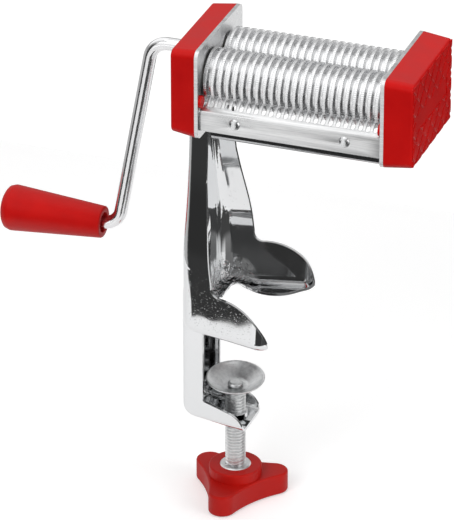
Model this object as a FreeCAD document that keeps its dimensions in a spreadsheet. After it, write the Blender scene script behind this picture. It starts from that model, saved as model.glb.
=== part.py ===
import FreeCAD, Part

import math
import os

import Sketcher

from FreeCAD import Placement, Rotation, Vector

# A hand cranked noodle cutter that clamps to the edge of a table.
# X runs along the rollers (the crank is at the -X end), Y is the depth (-Y is the front)
# and Z is up.  The origin lies on the clamp screw's axis, level with the table's top.

os.makedirs("parts", exist_ok=True)
doc = FreeCAD.newDocument("noodle_cutter")
sheet = doc.addObject("Spreadsheet::Sheet", "Sizes")

# Every size that can be set by itself, in millimetres.
DRIVING_SIZES = {
    # head: two side plates with a plastic cap over each
    "head_reach": 10.5,
    "head_span": 101.6,
    "head_depth": 68.0,
    "head_tall": 49.2,
    "head_level": 139.0,
    "head_corner": 4.0,
    "plate_thick": 2.0,
    "left_cap_thick": 13.4,
    "right_cap_thick": 14.8,
    "cap_wall": 2.2,
    "cap_draft": 1.35,
    "cap_round": 1.2,
    "peg_inset": 3.4,
    "peg_drop": 4.0,
    "peg_stem": 4.4,
    "peg_head": 6.6,
    "peg_head_tall": 1.3,
    "slot_play": 0.4,
    # rollers
    "axle_apart": 27.4,
    "axle_rise": 4.0,
    "ring_across": 29.4,
    "root_across": 25.0,
    "ring_pitch": 4.0,
    "ring_wide": 1.85,
    "ring_gap": 0.8,
    "journal_across": 12.0,
    "gear_seat_across": 9.0,
    "bush_wall": 2.0,
    "bush_nose": 0.6,
    "bush_flange": 1.0,
    "bush_flange_rim": 1.5,
    "running_gap": 0.05,
    "end_play": 0.2,
    # gears in the right cap
    "gear_teeth": 16,
    "gear_wide": 8.0,
    "tooth_out": 1.45,
    "tooth_in": 1.9,
    "tooth_backlash": 0.16,
    "clip_thick": 1.0,
    "clip_across": 13.0,
    "clip_groove": 6.4,
    "clip_mouth": 4.6,
    "pressure_angle": 20.0,
    # combs and the rails that carry them
    "comb_thick": 1.0,
    "comb_setback": 1.5,
    "apron_low": 19.4,
    "apron_high": 8.6,
    "comb_rise": 0.3,
    "comb_tip_out": 9.2,
    "slot_wide": 2.3,
    "slot_inset": 3.2,
    "comb_tab": 3.2,
    "comb_side_gap": 0.2,
    "rail_thick": 1.5,
    "rail_high": 12.4,
    "rail_low": 23.9,
    "lip_reach": 5.2,
    "lip_round": 2.4,
    "lip_notch": 6.2,
    "lip_clear": 0.4,
    "tenon_tall": 7.0,
    "tenon_head": 0.8,
    "comb_rivet_apart": 59.0,
    "comb_rivet_level": 13.2,
    "comb_rivet_shank": 3.0,
    "comb_rivet_head": 6.0,
    "comb_rivet_dome": 1.5,
    # crank
    "rod_across": 7.0,
    "crank_stub": 26.9,
    "crank_drop": 110.2,
    "crank_splay": 20.4,
    "crank_bend": 10.5,
    "grip_gap": 8.2,
    "grip_long": 51.4,
    "grip_dome": 6.0,
    "grip_small": 17.4,
    "grip_large": 25.0,
    "grip_recess": 11.0,
    "grip_recess_deep": 3.0,
    "grip_hold": 44.0,
    "grip_clip_inset": 3.0,
    "grip_clip_wall": 1.2,
    "grip_groove_deep": 0.7,
    "grip_clip_slit": 1.6,
    "grip_bore_spare": 1.5,
    "sleeve_long": 10.4,
    "socket_deep": 22.0,
    "pin_across": 2.5,
    "cap_hole_gap": 1.0,
    # clamp stand, one drawn sheet
    "sheet": 1.6,
    "web_back": 20.0,
    "splay": 0.228,
    "foot_half": 30.6,
    "foot_fold": 9.0,
    "foot_wall": 38.0,
    "foot_front": 34.5,
    "foot_nose": 9.0,
    "foot_round": 5.5,
    "foot_knee_x": 4.5,
    "foot_knee_z": 25.5,
    "foot_bulge_x": 21.0,
    "foot_bulge_z": 19.8,
    "foot_tip": 31.8,
    "ankle_x": 0.0,
    "ankle_z": 26.7,
    "calf_level": 48.0,
    "calf_half": 29.7,
    "calf_fold": 8.0,
    "waist_level": 65.0,
    "waist_half": 25.2,
    "waist_fold": 6.5,
    "chest_level": 85.0,
    "chest_half": 20.5,
    "chest_fold": 5.0,
    "neck_level": 104.5,
    "neck_half": 18.1,
    "neck_fold": 4.5,
    "stand_top_half": 16.2,
    "flange_neck_edge": 8.2,
    "flange_chest_edge": 7.8,
    "flange_foot_edge": 1.6,
    "flange_foot_level": 31.0,
    "shoulder_edge": 12.0,
    "throat_corner": 3.5,
    "throat_half": 29.2,
    "throat_root_x": -4.2,
    "throat_root_y": 26.7,
    "throat_ball_x": 10.5,
    "throat_ball_y": 22.9,
    "throat_arch_x": 20.4,
    "throat_arch_y": 27.3,
    "throat_toe_x": 26.7,
    "throat_toe_y": 34.5,
    "throat_tip_y": 37.6,
    "spine_back": 25.7,
    "spine_edge": 13.5,
    "spine_half": 14.0,
    "spine_round": 4.0,
    "rib_low": 14.0,
    "rib_top": 50.0,
    "rib_round": 30.0,
    "arm_heel_low": 60.0,
    "arm_toe_low": 65.2,
    "arm_corner": 7.5,
    "arm_edge": 49.6,
    "arm_root_round": 1.6,
    "arm_brow_x": 1.0,
    "arm_brow_z": 54.4,
    "arm_cheek_x": 6.4,
    "arm_cheek_z": 58.1,
    "arm_tip": 9.4,
    "arm_bow": 3.3,
    "arm_bow_round": 30.8,
    "ear_out": 27.0,
    "ear_lift": 3.2,
    "ear_tall": 13.4,
    "stand_rivet_shank": 4.0,
    "stand_rivet_head": 7.0,
    "stand_rivet_dome": 1.2,
    "ear_rivet_edge": 0.5,
    # clamp screw, cup and knob
    "screw_across": 11.1,
    "collar_across": 13.2,
    "collar_tall": 3.2,
    "cup_level": 38.7,
    "cup_across": 31.8,
    "cup_deep": 6.5,
    "cup_sheet": 1.2,
    "cup_flat": 13.0,
    "cup_rim": 1.2,
    "neck_across": 6.4,
    "button_across": 8.4,
    "button_tall": 2.4,
    "knob_level": 92.0,
    "hub_across": 28.4,
    "hub_tall": 6.0,
    "lobe_tall": 12.0,
    "lobe_reach": 28.6,
    "lobe_round": 7.4,
    "lobe_waist": 15.6,
    "knob_round": 1.2,
    "insert_across": 16.8,
    "insert_proud": 0.5,
    "insert_deep": 14.0,
}

for row, (alias, number) in enumerate(DRIVING_SIZES.items(), start=1):
    sheet.set("A%d" % row, alias)
    sheet.set("B%d" % row, str(number))
    sheet.setAlias("B%d" % row, alias)
doc.recompute()


class Size:
    """A length that carries its number and the formula on the sheet that gives it."""

    def __init__(self, number, formula):
        self.number = float(number)
        self.formula = formula

    def __add__(self, other):
        other = as_size(other)
        return Size(self.number + other.number, "(%s + %s)" % (self.formula, other.formula))

    def __sub__(self, other):
        other = as_size(other)
        return Size(self.number - other.number, "(%s - %s)" % (self.formula, other.formula))

    def __mul__(self, other):
        other = as_size(other)
        return Size(self.number * other.number, "(%s * %s)" % (self.formula, other.formula))

    def __truediv__(self, other):
        other = as_size(other)
        return Size(self.number / other.number, "(%s / %s)" % (self.formula, other.formula))

    def __neg__(self):
        return Size(-self.number, "(0 - %s)" % self.formula)

    def __float__(self):
        return self.number


def as_size(value):
    """Plain numbers, such as a half or a sign, can stand in a formula."""
    if isinstance(value, Size):
        return value
    return Size(value, "(%r)" % float(value))


class Sheet:
    """Reads the sheet's cells as sizes: s.ring_pitch and so on."""

    def __getattr__(self, alias):
        return Size(getattr(sheet, alias), "Sizes." + alias)


s = Sheet()
nodes = []

# ---------------------------------------------------------------- shared places

left_face = -s.head_reach
right_face = s.head_span - s.head_reach
left_inner = left_face + s.plate_thick
right_inner = right_face - s.plate_thick
axle_level = s.head_level + s.axle_rise
front_axle = -s.axle_apart / 2
rear_axle = s.axle_apart / 2
barrel_start = left_inner + s.ring_gap
barrel_end = right_inner - s.ring_gap
bush_radius = s.journal_across / 2 + s.bush_wall
peg_side = s.head_depth / 2 - s.peg_inset
ear_low = s.head_level - s.head_tall / 2 + s.ear_lift
stand_top = ear_low + s.ear_tall
grip_level = axle_level - s.crank_drop
crank_corner = left_face - s.left_cap_thick - s.crank_stub
crank_foot = crank_corner - s.crank_splay
grip_start = crank_foot - s.grip_gap

# ---------------------------------------------------------------- small helpers


def tie(thing, prop, size):
    """Binds a property to its formula on the sheet."""
    thing.setExpression(prop, as_size(size).formula)


def put(thing, x, y, z):
    """Binds a thing's place to the sheet."""
    tie(thing, "Placement.Base.x", x)
    tie(thing, "Placement.Base.y", y)
    tie(thing, "Placement.Base.z", z)


def rod_x(name, radius, start, end, y, z):
    """A round bar along X from start to end."""
    bar = doc.addObject("Part::Cylinder", name)
    bar.Placement = Placement(Vector(), Rotation(Vector(0, 1, 0), 90))
    tie(bar, "Radius", radius)
    tie(bar, "Height", as_size(end) - start)
    put(bar, start, y, z)
    return bar


def rod_y(name, radius, start, end, x, z):
    """A round bar along Y from start to end."""
    bar = doc.addObject("Part::Cylinder", name)
    bar.Placement = Placement(Vector(), Rotation(Vector(1, 0, 0), -90))
    tie(bar, "Radius", radius)
    tie(bar, "Height", as_size(end) - start)
    put(bar, x, start, z)
    return bar


def rod_z(name, radius, start, end, x, y):
    """A round bar along Z from start to end."""
    bar = doc.addObject("Part::Cylinder", name)
    tie(bar, "Radius", radius)
    tie(bar, "Height", as_size(end) - start)
    put(bar, x, y, start)
    return bar


def block(name, low, high):
    """A box between two corners."""
    box = doc.addObject("Part::Box", name)
    for prop, a, b in zip(("Length", "Width", "Height"), low, high):
        tie(box, prop, as_size(b) - a)
    put(box, *low)
    return box


def fuse(name, pieces):
    """Pieces joined into one."""
    joined = doc.addObject("Part::MultiFuse", name)
    joined.Shapes = pieces
    return joined


def cut(name, base, tools):
    """A base with tools taken away."""
    if len(tools) > 1:
        tool = fuse(name + "_tools", tools)
    else:
        tool = tools[0]
    result = doc.addObject("Part::Cut", name)
    result.Base = base
    result.Tool = tool
    return result


def node(thing, name):
    """Marks a finished sub-part: its label is the name of its file."""
    thing.Label = name
    nodes.append(thing)
    return thing


def shaped(name, shape):
    """A sub-part whose form comes straight from shape functions."""
    thing = doc.addObject("Part::Feature", name)
    thing.Shape = shape
    return node(thing, name)


def plane_of(body, role):
    """One of a body's own origin planes or axes."""
    return [part for part in body.Origin.OriginFeatures if part.Role == role][0]


def new_sketch(body, name, role):
    """A sketch on one of the body's own planes."""
    sketch = body.newObject("Sketcher::SketchObject", name)
    sketch.AttachmentSupport = (plane_of(body, role), "")
    sketch.MapMode = "FlatFace"
    return sketch


def pin_point(sketch, line, end, point):
    """Ties one end of a sketch line to its place on the sheet."""
    for kind, size in zip(("DistanceX", "DistanceY"), point):
        size = as_size(size)
        index = sketch.addConstraint(
            Sketcher.Constraint(kind, -1, 1, line, end, size.number))
        sketch.setExpression("Constraints[%d]" % index, size.formula)


def outline(sketch, points):
    """A closed outline of straight lines, each corner tied to the sheet."""
    spots = [Vector(float(x), float(y), 0) for x, y in points]
    count = len(spots)
    for k in range(count):
        sketch.addGeometry(Part.LineSegment(spots[k], spots[(k + 1) % count]), False)
    for k in range(count):
        sketch.addConstraint(Sketcher.Constraint("Coincident", k, 2, (k + 1) % count, 1))
    for k in range(count):
        pin_point(sketch, k, 1, points[k])


def turned(name, profile, level_axis):
    """A turned piece: the profile's (along, radius) points spun about an axis of the body.

    level_axis is "X_Axis" for a piece on a shaft or "Z_Axis" for an upright one."""
    body = doc.addObject("PartDesign::Body", name)
    sketch = new_sketch(body, name + "_profile", "XZ_Plane")
    if level_axis == "X_Axis":
        outline(sketch, profile)
    else:
        outline(sketch, [(radius, along) for along, radius in profile])
    spin = body.newObject("PartDesign::Revolution", name + "_turning")
    spin.Profile = sketch
    spin.ReferenceAxis = (plane_of(body, level_axis), [""])
    spin.Angle = 360.0
    body.Tip = spin
    return body


def wire_xz(corners, y=0.0):
    """A closed wire in the XZ plane.  A corner (x, z) ends a straight run, and
    (x, z, via_x, via_z) ends an arc that passes through the second point."""
    edges = []
    last = corners[-1]
    for corner in corners:
        start = Vector(float(last[0]), y, float(last[1]))
        end = Vector(float(corner[0]), y, float(corner[1]))
        if len(corner) == 4:
            via = Vector(float(corner[2]), y, float(corner[3]))
            edges.append(Part.Arc(start, via, end).toShape())
        else:
            edges.append(Part.LineSegment(start, end).toShape())
        last = corner
    return Part.Wire(edges)


def rounded(corners, place):
    """A closed wire through (u, v, radius) corners, each rounded by an arc of its radius.
    place turns a (u, v) pair into a point."""
    points = [place(u, v) for u, v, _ in corners]
    count = len(points)
    arcs = []
    for k in range(count):
        here = points[k]
        back = (points[k - 1] - here).normalize()
        ahead = (points[(k + 1) % count] - here).normalize()
        half_angle = back.getAngle(ahead) / 2
        radius = corners[k][2]
        reach = radius / math.tan(half_angle)
        bulge = (back + ahead).normalize() * (radius / math.sin(half_angle) - radius)
        arcs.append((here + back * reach, here + bulge, here + ahead * reach, radius))
    edges = []
    for k in range(count):
        start, middle, end, radius = arcs[k]
        if radius > 0:
            edges.append(Part.Arc(start, middle, end).toShape())
        edges.append(Part.LineSegment(end, arcs[(k + 1) % count][0]).toShape())
    return Part.Wire(edges)


def slab(wire, direction):
    """A flat wire pushed along a direction."""
    return Part.Face(wire).extrude(direction)


# ---------------------------------------------------------------- side plates


def side_plate(name, start, end, ear_rivets):
    """A flat plate with rounded corners: bush bores, peg holes and rail slots."""
    body = doc.addObject("PartDesign::Body", name + "_blank")
    sketch = new_sketch(body, name + "_outline", "YZ_Plane")
    half = s.head_depth / 2
    low = s.head_level - s.head_tall / 2
    high = s.head_level + s.head_tall / 2
    outline(sketch, [(-half, low), (half, low), (half, high), (-half, high)])
    tie(sketch, "AttachmentOffset.Base.z", start)
    pad = body.newObject("PartDesign::Pad", name + "_pad")
    pad.Profile = sketch
    tie(pad, "Length", end - start)
    body.Tip = pad
    doc.recompute()
    corners = ["Edge%d" % (k + 1) for k, edge in enumerate(pad.Shape.Edges)
               if abs(edge.tangentAt(edge.FirstParameter).x) > 0.99]
    rounding = body.newObject("PartDesign::Fillet", name + "_corners")
    rounding.Base = (pad, corners)
    tie(rounding, "Radius", s.head_corner)
    body.Tip = rounding
    tools = []
    for side, axle in (("front", front_axle), ("rear", rear_axle)):
        sign = -1 if side == "front" else 1
        label = "%s_%s" % (name, side)
        tools.append(rod_x(label + "_bore", bush_radius, start - 1, end + 1, axle, axle_level))
        tools.append(rod_x(label + "_peg_hole", s.peg_stem / 2 + s.running_gap,
                           start - 1, end + 1, peg_side * sign, s.head_level - s.peg_drop))
        tools.append(rail_tenon(label + "_slot", sign, start - 1, end + 1))
        if ear_rivets:
            for k, level in enumerate(ear_rivet_levels()):
                tools.append(rod_x("%s_ear_hole_%d" % (label, k), s.stand_rivet_shank / 2,
                                   start - 1, end + 1, ear_rivet_side() * sign, level))
    return node(cut(name, body, tools), name)


def ear_rivet_side():
    """How far from the middle the stand's rivets stand."""
    return s.ear_out - s.stand_rivet_head / 2 - s.ear_rivet_edge


def ear_rivet_levels():
    """The heights of the stand's two rivets on each side."""
    return (ear_low + s.ear_tall / 4, ear_low + s.ear_tall * 3 / 4)


def rail_back(sign):
    """The outer face of a rail, which the comb's apron lies on."""
    return (s.head_depth / 2 - s.comb_setback - s.comb_thick) * sign


def rail_tenon(name, sign, start, end):
    """The tongue at a rail's end, which passes through the side plate."""
    outer = rail_back(sign)
    inner = outer - s.rail_thick * sign
    near, far = (outer, inner) if sign < 0 else (inner, outer)
    middle = s.head_level - s.apron_low + s.tenon_tall / 2
    return block(name, (start, near, middle - s.tenon_tall / 2), (end, far, middle + s.tenon_tall / 2))


# ---------------------------------------------------------------- end caps


def end_cap(name, start, outward, thick, tools, extras):
    """A drafted, hollow plastic cap with two snap pegs.  outward is -1 for the left."""
    low = s.head_level - s.head_tall / 2
    high = s.head_level + s.head_tall / 2
    half = s.head_depth / 2
    solids = []
    for layer, inset, depth in (("skin", as_size(0), thick), ("room", s.cap_wall, thick - s.cap_wall)):
        body = doc.addObject("PartDesign::Body", "%s_%s" % (name, layer))
        sketch = new_sketch(body, "%s_%s_outline" % (name, layer), "YZ_Plane")
        outline(sketch, [(inset - half, low + inset), (half - inset, low + inset),
                         (half - inset, high - inset), (inset - half, high - inset)])
        tie(sketch, "AttachmentOffset.Base.z", start)
        pad = body.newObject("PartDesign::Pad", "%s_%s_pad" % (name, layer))
        pad.Profile = sketch
        pad.Reversed = outward < 0
        tie(pad, "Length", depth)
        slope = math.degrees(math.atan(float(s.cap_draft) / float(thick)))
        tie(pad, "TaperAngle", Size(-slope, "-1 * atan(%s / %s)" % (s.cap_draft.formula,
                                                                   thick.formula)))
        body.Tip = pad
        doc.recompute()
        corners = ["Edge%d" % (k + 1) for k, edge in enumerate(pad.Shape.Edges)
                   if abs(edge.tangentAt(edge.FirstParameter).x) > 0.9]
        rounding = body.newObject("PartDesign::Fillet", "%s_%s_corners" % (name, layer))
        rounding.Base = (pad, corners)
        tie(rounding, "Radius", s.head_corner - inset)
        body.Tip = rounding
        doc.recompute()
        if layer == "skin":
            far = float(start) + outward * float(thick)
            rim = ["Edge%d" % (k + 1) for k, edge in enumerate(rounding.Shape.Edges)
                   if abs(edge.BoundBox.XMin - far) < 0.01 and abs(edge.BoundBox.XMax - far) < 0.01]
            soft = body.newObject("PartDesign::Fillet", name + "_soft_rim")
            soft.Base = (rounding, rim)
            tie(soft, "Radius", s.cap_round)
            body.Tip = soft
        solids.append(body)
    shell = cut(name + "_shell", solids[0], [solids[1]] + tools)
    pegs = []
    for side, sign in (("front", -1), ("rear", 1)):
        y = peg_side * sign
        z = s.head_level - s.peg_drop
        inner = start - s.plate_thick * outward
        floor = start + (thick - s.cap_wall / 2) * outward
        tip = inner - s.peg_head_tall * outward
        stem_ends = (floor, inner) if outward < 0 else (inner, floor)
        head_ends = (inner, tip) if outward < 0 else (tip, inner)
        label = "%s_%s" % (name, side)
        pegs.append(rod_x(label + "_peg", s.peg_stem / 2, stem_ends[0], stem_ends[1], y, z))
        pegs.append(rod_x(label + "_peg_head", s.peg_head / 2, head_ends[0], head_ends[1], y, z))
    return node(fuse(name, [shell] + pegs + extras), name)


# ---------------------------------------------------------------- rollers and what turns them


def roller(name, axle, first_ring, count, left_pieces, left_tools):
    """A ringed barrel on journals, with a gear seat at the right."""
    pieces = [rod_x(name + "_barrel", s.root_across / 2, barrel_start, barrel_end, axle, axle_level)]
    for k in range(count):
        middle = first_ring + s.ring_pitch * k
        pieces.append(rod_x("%s_ring_%d" % (name, k), s.ring_across / 2,
                            middle - s.ring_wide / 2, middle + s.ring_wide / 2, axle, axle_level))
    pieces.append(rod_x(name + "_right_journal", s.journal_across / 2, barrel_end,
                        gear_start, axle, axle_level))
    pieces.append(rod_x(name + "_gear_seat", s.gear_seat_across / 2, gear_start,
                        clip_start, axle, axle_level))
    pieces.append(rod_x(name + "_clip_groove", s.clip_groove / 2, clip_start,
                        clip_start + s.clip_thick, axle, axle_level))
    pieces.append(rod_x(name + "_clip_nose", s.gear_seat_across / 2, clip_start + s.clip_thick,
                        clip_start + s.clip_thick * 2, axle, axle_level))
    blank = fuse(name + "_turned", pieces + left_pieces)
    if left_tools:
        return node(cut(name, blank, left_tools), name)
    return node(blank, name)


def bush(name, inner, outward, axle):
    """A flanged bush: body in the plate, nose towards the roller, flange in the cap."""
    outer = inner + s.plate_thick * outward
    nose = inner - s.bush_nose * outward
    brim = outer + s.bush_flange * outward
    bore = s.journal_across / 2 + s.running_gap
    body_ends = (nose, outer) if outward > 0 else (outer, nose)
    brim_ends = (outer, brim) if outward > 0 else (brim, outer)
    body = rod_x(name + "_body", bush_radius, body_ends[0], body_ends[1], axle, axle_level)
    flange = rod_x(name + "_flange", bush_radius + s.bush_flange_rim, brim_ends[0], brim_ends[1],
                   axle, axle_level)
    hole = rod_x(name + "_hole", bore, left_face - 20, right_face + 20, axle, axle_level)
    return node(cut(name, fuse(name + "_blank", [body, flange]), [hole]), name)


def gear_shape(axle, tooth_first):
    """A spur gear with involute flanks.  tooth_first turns it by half a tooth."""
    teeth = int(float(s.gear_teeth))
    pitch_radius = float(s.axle_apart) / 2
    tip_radius = pitch_radius + float(s.tooth_out)
    root_radius = pitch_radius - float(s.tooth_in)
    pressure = math.radians(float(s.pressure_angle))
    base_radius = pitch_radius * math.cos(pressure)
    half_tooth = math.pi / (2 * teeth) - float(s.tooth_backlash) / (2 * pitch_radius)

    def involute(angle):
        return math.tan(angle) - angle

    def half_angle(radius):
        lean = math.acos(min(1.0, base_radius / radius))
        return half_tooth + involute(pressure) - involute(lean)

    low_radius = max(base_radius, root_radius)
    steps = [low_radius, pitch_radius, (pitch_radius + tip_radius) / 2, tip_radius]

    def spot(radius, angle):
        return Vector(0, radius * math.cos(angle), radius * math.sin(angle))

    points = []
    for k in range(teeth):
        middle = 2 * math.pi * (k + (0.5 if tooth_first else 0.0)) / teeth
        points.append(spot(root_radius, middle - half_angle(low_radius)))
        points += [spot(radius, middle - half_angle(radius)) for radius in steps]
        points += [spot(radius, middle + half_angle(radius)) for radius in reversed(steps)]
        points.append(spot(root_radius, middle + half_angle(low_radius)))
    rim = Part.makePolygon(points + [points[0]])
    blank = slab(rim, Vector(float(s.gear_wide), 0, 0))
    blank.translate(Vector(float(gear_start), float(axle), float(axle_level)))
    hole = Part.makeCylinder(float(s.gear_seat_across) / 2, float(s.gear_wide),
                             Vector(float(gear_start), float(axle), float(axle_level)),
                             Vector(1, 0, 0))
    return blank.cut(hole)


def clip(name, axle):
    """A spring clip in its groove, with the mouth downwards."""
    disc = rod_x(name + "_disc", s.clip_across / 2, clip_start, clip_start + s.clip_thick,
                 axle, axle_level)
    eye = rod_x(name + "_eye", s.clip_groove / 2, clip_start - 1, clip_start + s.clip_thick + 1,
                axle, axle_level)
    mouth = block(name + "_mouth",
                  (clip_start - 1, axle - s.clip_mouth / 2, axle_level - s.clip_across),
                  (clip_start + s.clip_thick + 1, axle + s.clip_mouth / 2, axle_level))
    return node(cut(name, disc, [eye, mouth]), name)


gear_start = right_face + s.bush_flange + s.end_play
clip_start = gear_start + s.gear_wide
sleeve_end = left_face - s.sleeve_long
first_front_ring = barrel_start + s.ring_wide / 2
first_rear_ring = first_front_ring + s.ring_pitch / 2
front_rings = int(float((barrel_end - barrel_start - s.ring_wide) / s.ring_pitch)) + 1
rear_rings = front_rings - 1
rod_end = barrel_start + s.socket_deep - s.sleeve_long - s.plate_thick

front_stub = rod_x("front_stub", s.journal_across / 2, left_face - s.bush_flange - 1,
                   barrel_start, front_axle, axle_level)
roller("front_roller", front_axle, first_front_ring, front_rings, [front_stub], [])

rear_sleeve = rod_x("rear_sleeve", s.journal_across / 2, sleeve_end, barrel_start,
                    rear_axle, axle_level)
rod_socket = rod_x("rod_socket", s.rod_across / 2, sleeve_end - 1, rod_end, rear_axle, axle_level)
pin_middle = (sleeve_end + left_face - s.bush_flange) / 2
sleeve_pin_hole = rod_z("sleeve_pin_hole", s.pin_across / 2, axle_level - s.journal_across,
                        axle_level + s.journal_across, pin_middle, rear_axle)
roller("rear_roller", rear_axle, first_rear_ring, rear_rings,
       [rear_sleeve], [rod_socket, sleeve_pin_hole])

shaped("front_gear", gear_shape(front_axle, False))
shaped("rear_gear", gear_shape(rear_axle, int(float(s.gear_teeth)) % 2 == 0))
clip("front_gear_clip", front_axle)
clip("rear_gear_clip", rear_axle)

for end, inner, outward in (("left", left_inner, -1), ("right", right_inner, 1)):
    bush(end + "_front_bush", inner, outward, front_axle)
    bush(end + "_rear_bush", inner, outward, rear_axle)

side_plate("left_side_plate", left_face, left_inner, True)
side_plate("right_side_plate", right_inner, right_face, False)

# the left cap is pierced by the crank and notched for the stand, the right one is whole
crank_hole = rod_x("crank_hole", s.rod_across / 2 + s.cap_hole_gap, left_face - s.left_cap_thick - 1,
                   left_face, rear_axle, axle_level)
notch_half = s.neck_half + s.splay * (s.web_back - s.head_reach) + s.slot_play
notch_low = s.head_level - s.head_tall / 2
stand_notch = block("stand_notch", (-s.web_back - s.slot_play, -notch_half, notch_low - 1),
                    (left_face + 1, notch_half, notch_low + s.cap_wall + s.cap_draft + 1))
end_cap("left_end_cap", left_face, -1, s.left_cap_thick, [crank_hole, stand_notch], [])
end_cap("right_end_cap", right_face, 1, s.right_cap_thick, [], [])

# ---------------------------------------------------------------- combs, rails and rivets


def rail(name, sign):
    """A folded rail: an upright web, a rolled lower lip and a tenon at each end."""
    outer = rail_back(sign)
    inner = outer - s.rail_thick * sign
    top = s.head_level - s.rail_high
    lip_top = s.head_level - s.apron_low - s.lip_clear
    bottom = s.head_level - s.rail_low
    start = left_inner + s.comb_side_gap
    end = right_inner - s.comb_side_gap
    body = doc.addObject("PartDesign::Body", name + "_blank")
    sketch = new_sketch(body, name + "_section", "YZ_Plane")
    lip = outer - s.lip_reach * sign
    section = [(outer, top), (outer, bottom), (lip, bottom), (lip, bottom + s.rail_thick),
               (inner, bottom + s.rail_thick), (inner, top)]
    outline(sketch, section)
    tie(sketch, "AttachmentOffset.Base.z", start)
    pad = body.newObject("PartDesign::Pad", name + "_pad")
    pad.Profile = sketch
    tie(pad, "Length", end - start)
    body.Tip = pad
    doc.recompute()
    fold = ["Edge%d" % (k + 1) for k, edge in enumerate(pad.Shape.Edges)
            if abs(edge.CenterOfMass.y - float(outer)) < 0.01
            and abs(edge.CenterOfMass.z - float(bottom)) < 0.01]
    rounding = body.newObject("PartDesign::Fillet", name + "_fold")
    rounding.Base = (pad, fold)
    tie(rounding, "Radius", s.lip_round)
    body.Tip = rounding
    near, far = (outer - 1, lip + 1) if sign < 0 else (lip - 1, outer + 1)
    notch = block(name + "_notch", (start - 1, near, bottom - 1), (start + s.lip_notch, far, lip_top))
    tenons = [rail_tenon(name + "_left_tenon", sign, left_face - s.tenon_head, start),
              rail_tenon(name + "_right_tenon", sign, end, right_face + s.tenon_head)]
    whole = fuse(name + "_whole", [cut(name + "_notched", body, [notch])] + tenons)
    return node(cut(name, whole, rivet_shanks(name + "_hole", sign)), name)


def rivet_shanks(label, sign):
    """Two bars across the comb and the rail, where the rivets go."""
    middle = (left_inner + right_inner) / 2
    level = s.head_level - s.comb_rivet_level
    outer = s.head_depth / 2 * sign
    inner = rail_back(sign) - (s.rail_thick + 3) * sign
    near, far = (outer, inner) if sign < 0 else (inner, outer)
    return [rod_y("%s_%d" % (label, k), s.comb_rivet_shank / 2, near, far,
                  middle + s.comb_rivet_apart / 2 * step, level)
            for k, step in enumerate((-1, 1))]


def comb(name, sign, first_ring, count):
    """A bent sheet: an upright apron and a sloping comb whose fingers enter the grooves."""
    front = (s.head_depth / 2 - s.comb_setback) * sign
    back = front - s.comb_thick * sign
    low = s.head_level - s.apron_low
    ridge = s.head_level - s.apron_high
    tip = (s.axle_apart / 2 + s.comb_tip_out) * sign
    tip_level = ridge + (front - tip) * sign * s.comb_rise
    start = left_inner + s.comb_side_gap
    end = right_inner - s.comb_side_gap
    body = doc.addObject("PartDesign::Body", name + "_blank")
    section = new_sketch(body, name + "_section", "YZ_Plane")
    outline(section, [(front, low), (front, ridge), (tip, tip_level), (tip, tip_level - s.comb_thick),
                      (back, ridge - s.comb_thick + s.comb_rise * s.comb_thick), (back, low)])
    tie(section, "AttachmentOffset.Base.z", start)
    pad = body.newObject("PartDesign::Pad", name + "_pad")
    pad.Profile = section
    tie(pad, "Length", end - start)
    body.Tip = pad
    doc.recompute()
    bend = ["Edge%d" % (k + 1) for k, edge in enumerate(pad.Shape.Edges)
            if abs(edge.CenterOfMass.y - float(front)) < 0.01
            and abs(edge.CenterOfMass.z - float(ridge)) < 0.01]
    rounding = body.newObject("PartDesign::Fillet", name + "_bend")
    rounding.Base = (pad, bend)
    tie(rounding, "Radius", s.comb_thick * 1.5)
    body.Tip = rounding
    tools = []
    slot_end = front - s.slot_inset * sign
    for k in range(count):
        middle = first_ring + s.ring_pitch * k
        label = "%s_slot_%d" % (name, k)
        inner = tip - sign
        round_middle = slot_end - s.slot_wide / 2 * sign
        near, far = (round_middle, inner) if sign < 0 else (inner, round_middle)
        tools.append(block(label, (middle - s.slot_wide / 2, near, ridge - 3),
                           (middle + s.slot_wide / 2, far, tip_level + 3)))
        tools.append(rod_z(label + "_round", s.slot_wide / 2, ridge - 3, tip_level + 3,
                           middle, round_middle))
    tools += rivet_shanks(name + "_hole", sign)
    return node(cut(name, body, tools), name)


def rivet(name, shank, grip, head, head_dome, tail, tail_dome, spot, direction):
    """A rivet with two domes.  The shank starts at the spot and runs along the direction."""
    steps = [(math.cos(math.radians(lean)), math.sin(math.radians(lean))) for lean in (0, 35, 65)]
    profile = [(-head_dome, as_size(0))]
    profile += [(-head_dome * high, head / 2 * wide) for wide, high in reversed(steps)]
    profile += [(0.0, shank / 2), (grip, shank / 2)]
    profile += [(grip + tail_dome * high, tail / 2 * wide) for wide, high in steps]
    profile += [(grip + tail_dome, as_size(0))]
    body = turned(name, profile, "Z_Axis")
    body.Placement = Placement(Vector(), Rotation(Vector(0, 0, 1), Vector(*direction)))
    put(body, *spot)
    return body


def comb_rivets(name, sign):
    """Two domed rivets that clench the comb to its rail."""
    middle = (left_inner + right_inner) / 2
    level = s.head_level - s.comb_rivet_level
    front = (s.head_depth / 2 - s.comb_setback) * sign
    rivets = []
    for k, step in enumerate((-1, 1)):
        spot = (middle + s.comb_rivet_apart / 2 * step, front, level)
        rivets.append(rivet("%s_%d" % (name, k), s.comb_rivet_shank, s.comb_thick + s.rail_thick,
                            s.comb_rivet_head, s.comb_rivet_dome, s.comb_rivet_head * 0.8,
                            s.comb_rivet_dome * 0.6, spot, (0, -sign, 0)))
    group = doc.addObject("Part::Compound", name)
    group.Links = rivets
    return node(group, name)


rail("front_rail", -1)
rail("rear_rail", 1)
comb("front_comb", -1, first_front_ring, front_rings)
comb("rear_comb", 1, first_rear_ring, rear_rings)
comb_rivets("front_comb_rivets", -1)
comb_rivets("rear_comb_rivets", 1)

# ---------------------------------------------------------------- crank and grip


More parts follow.
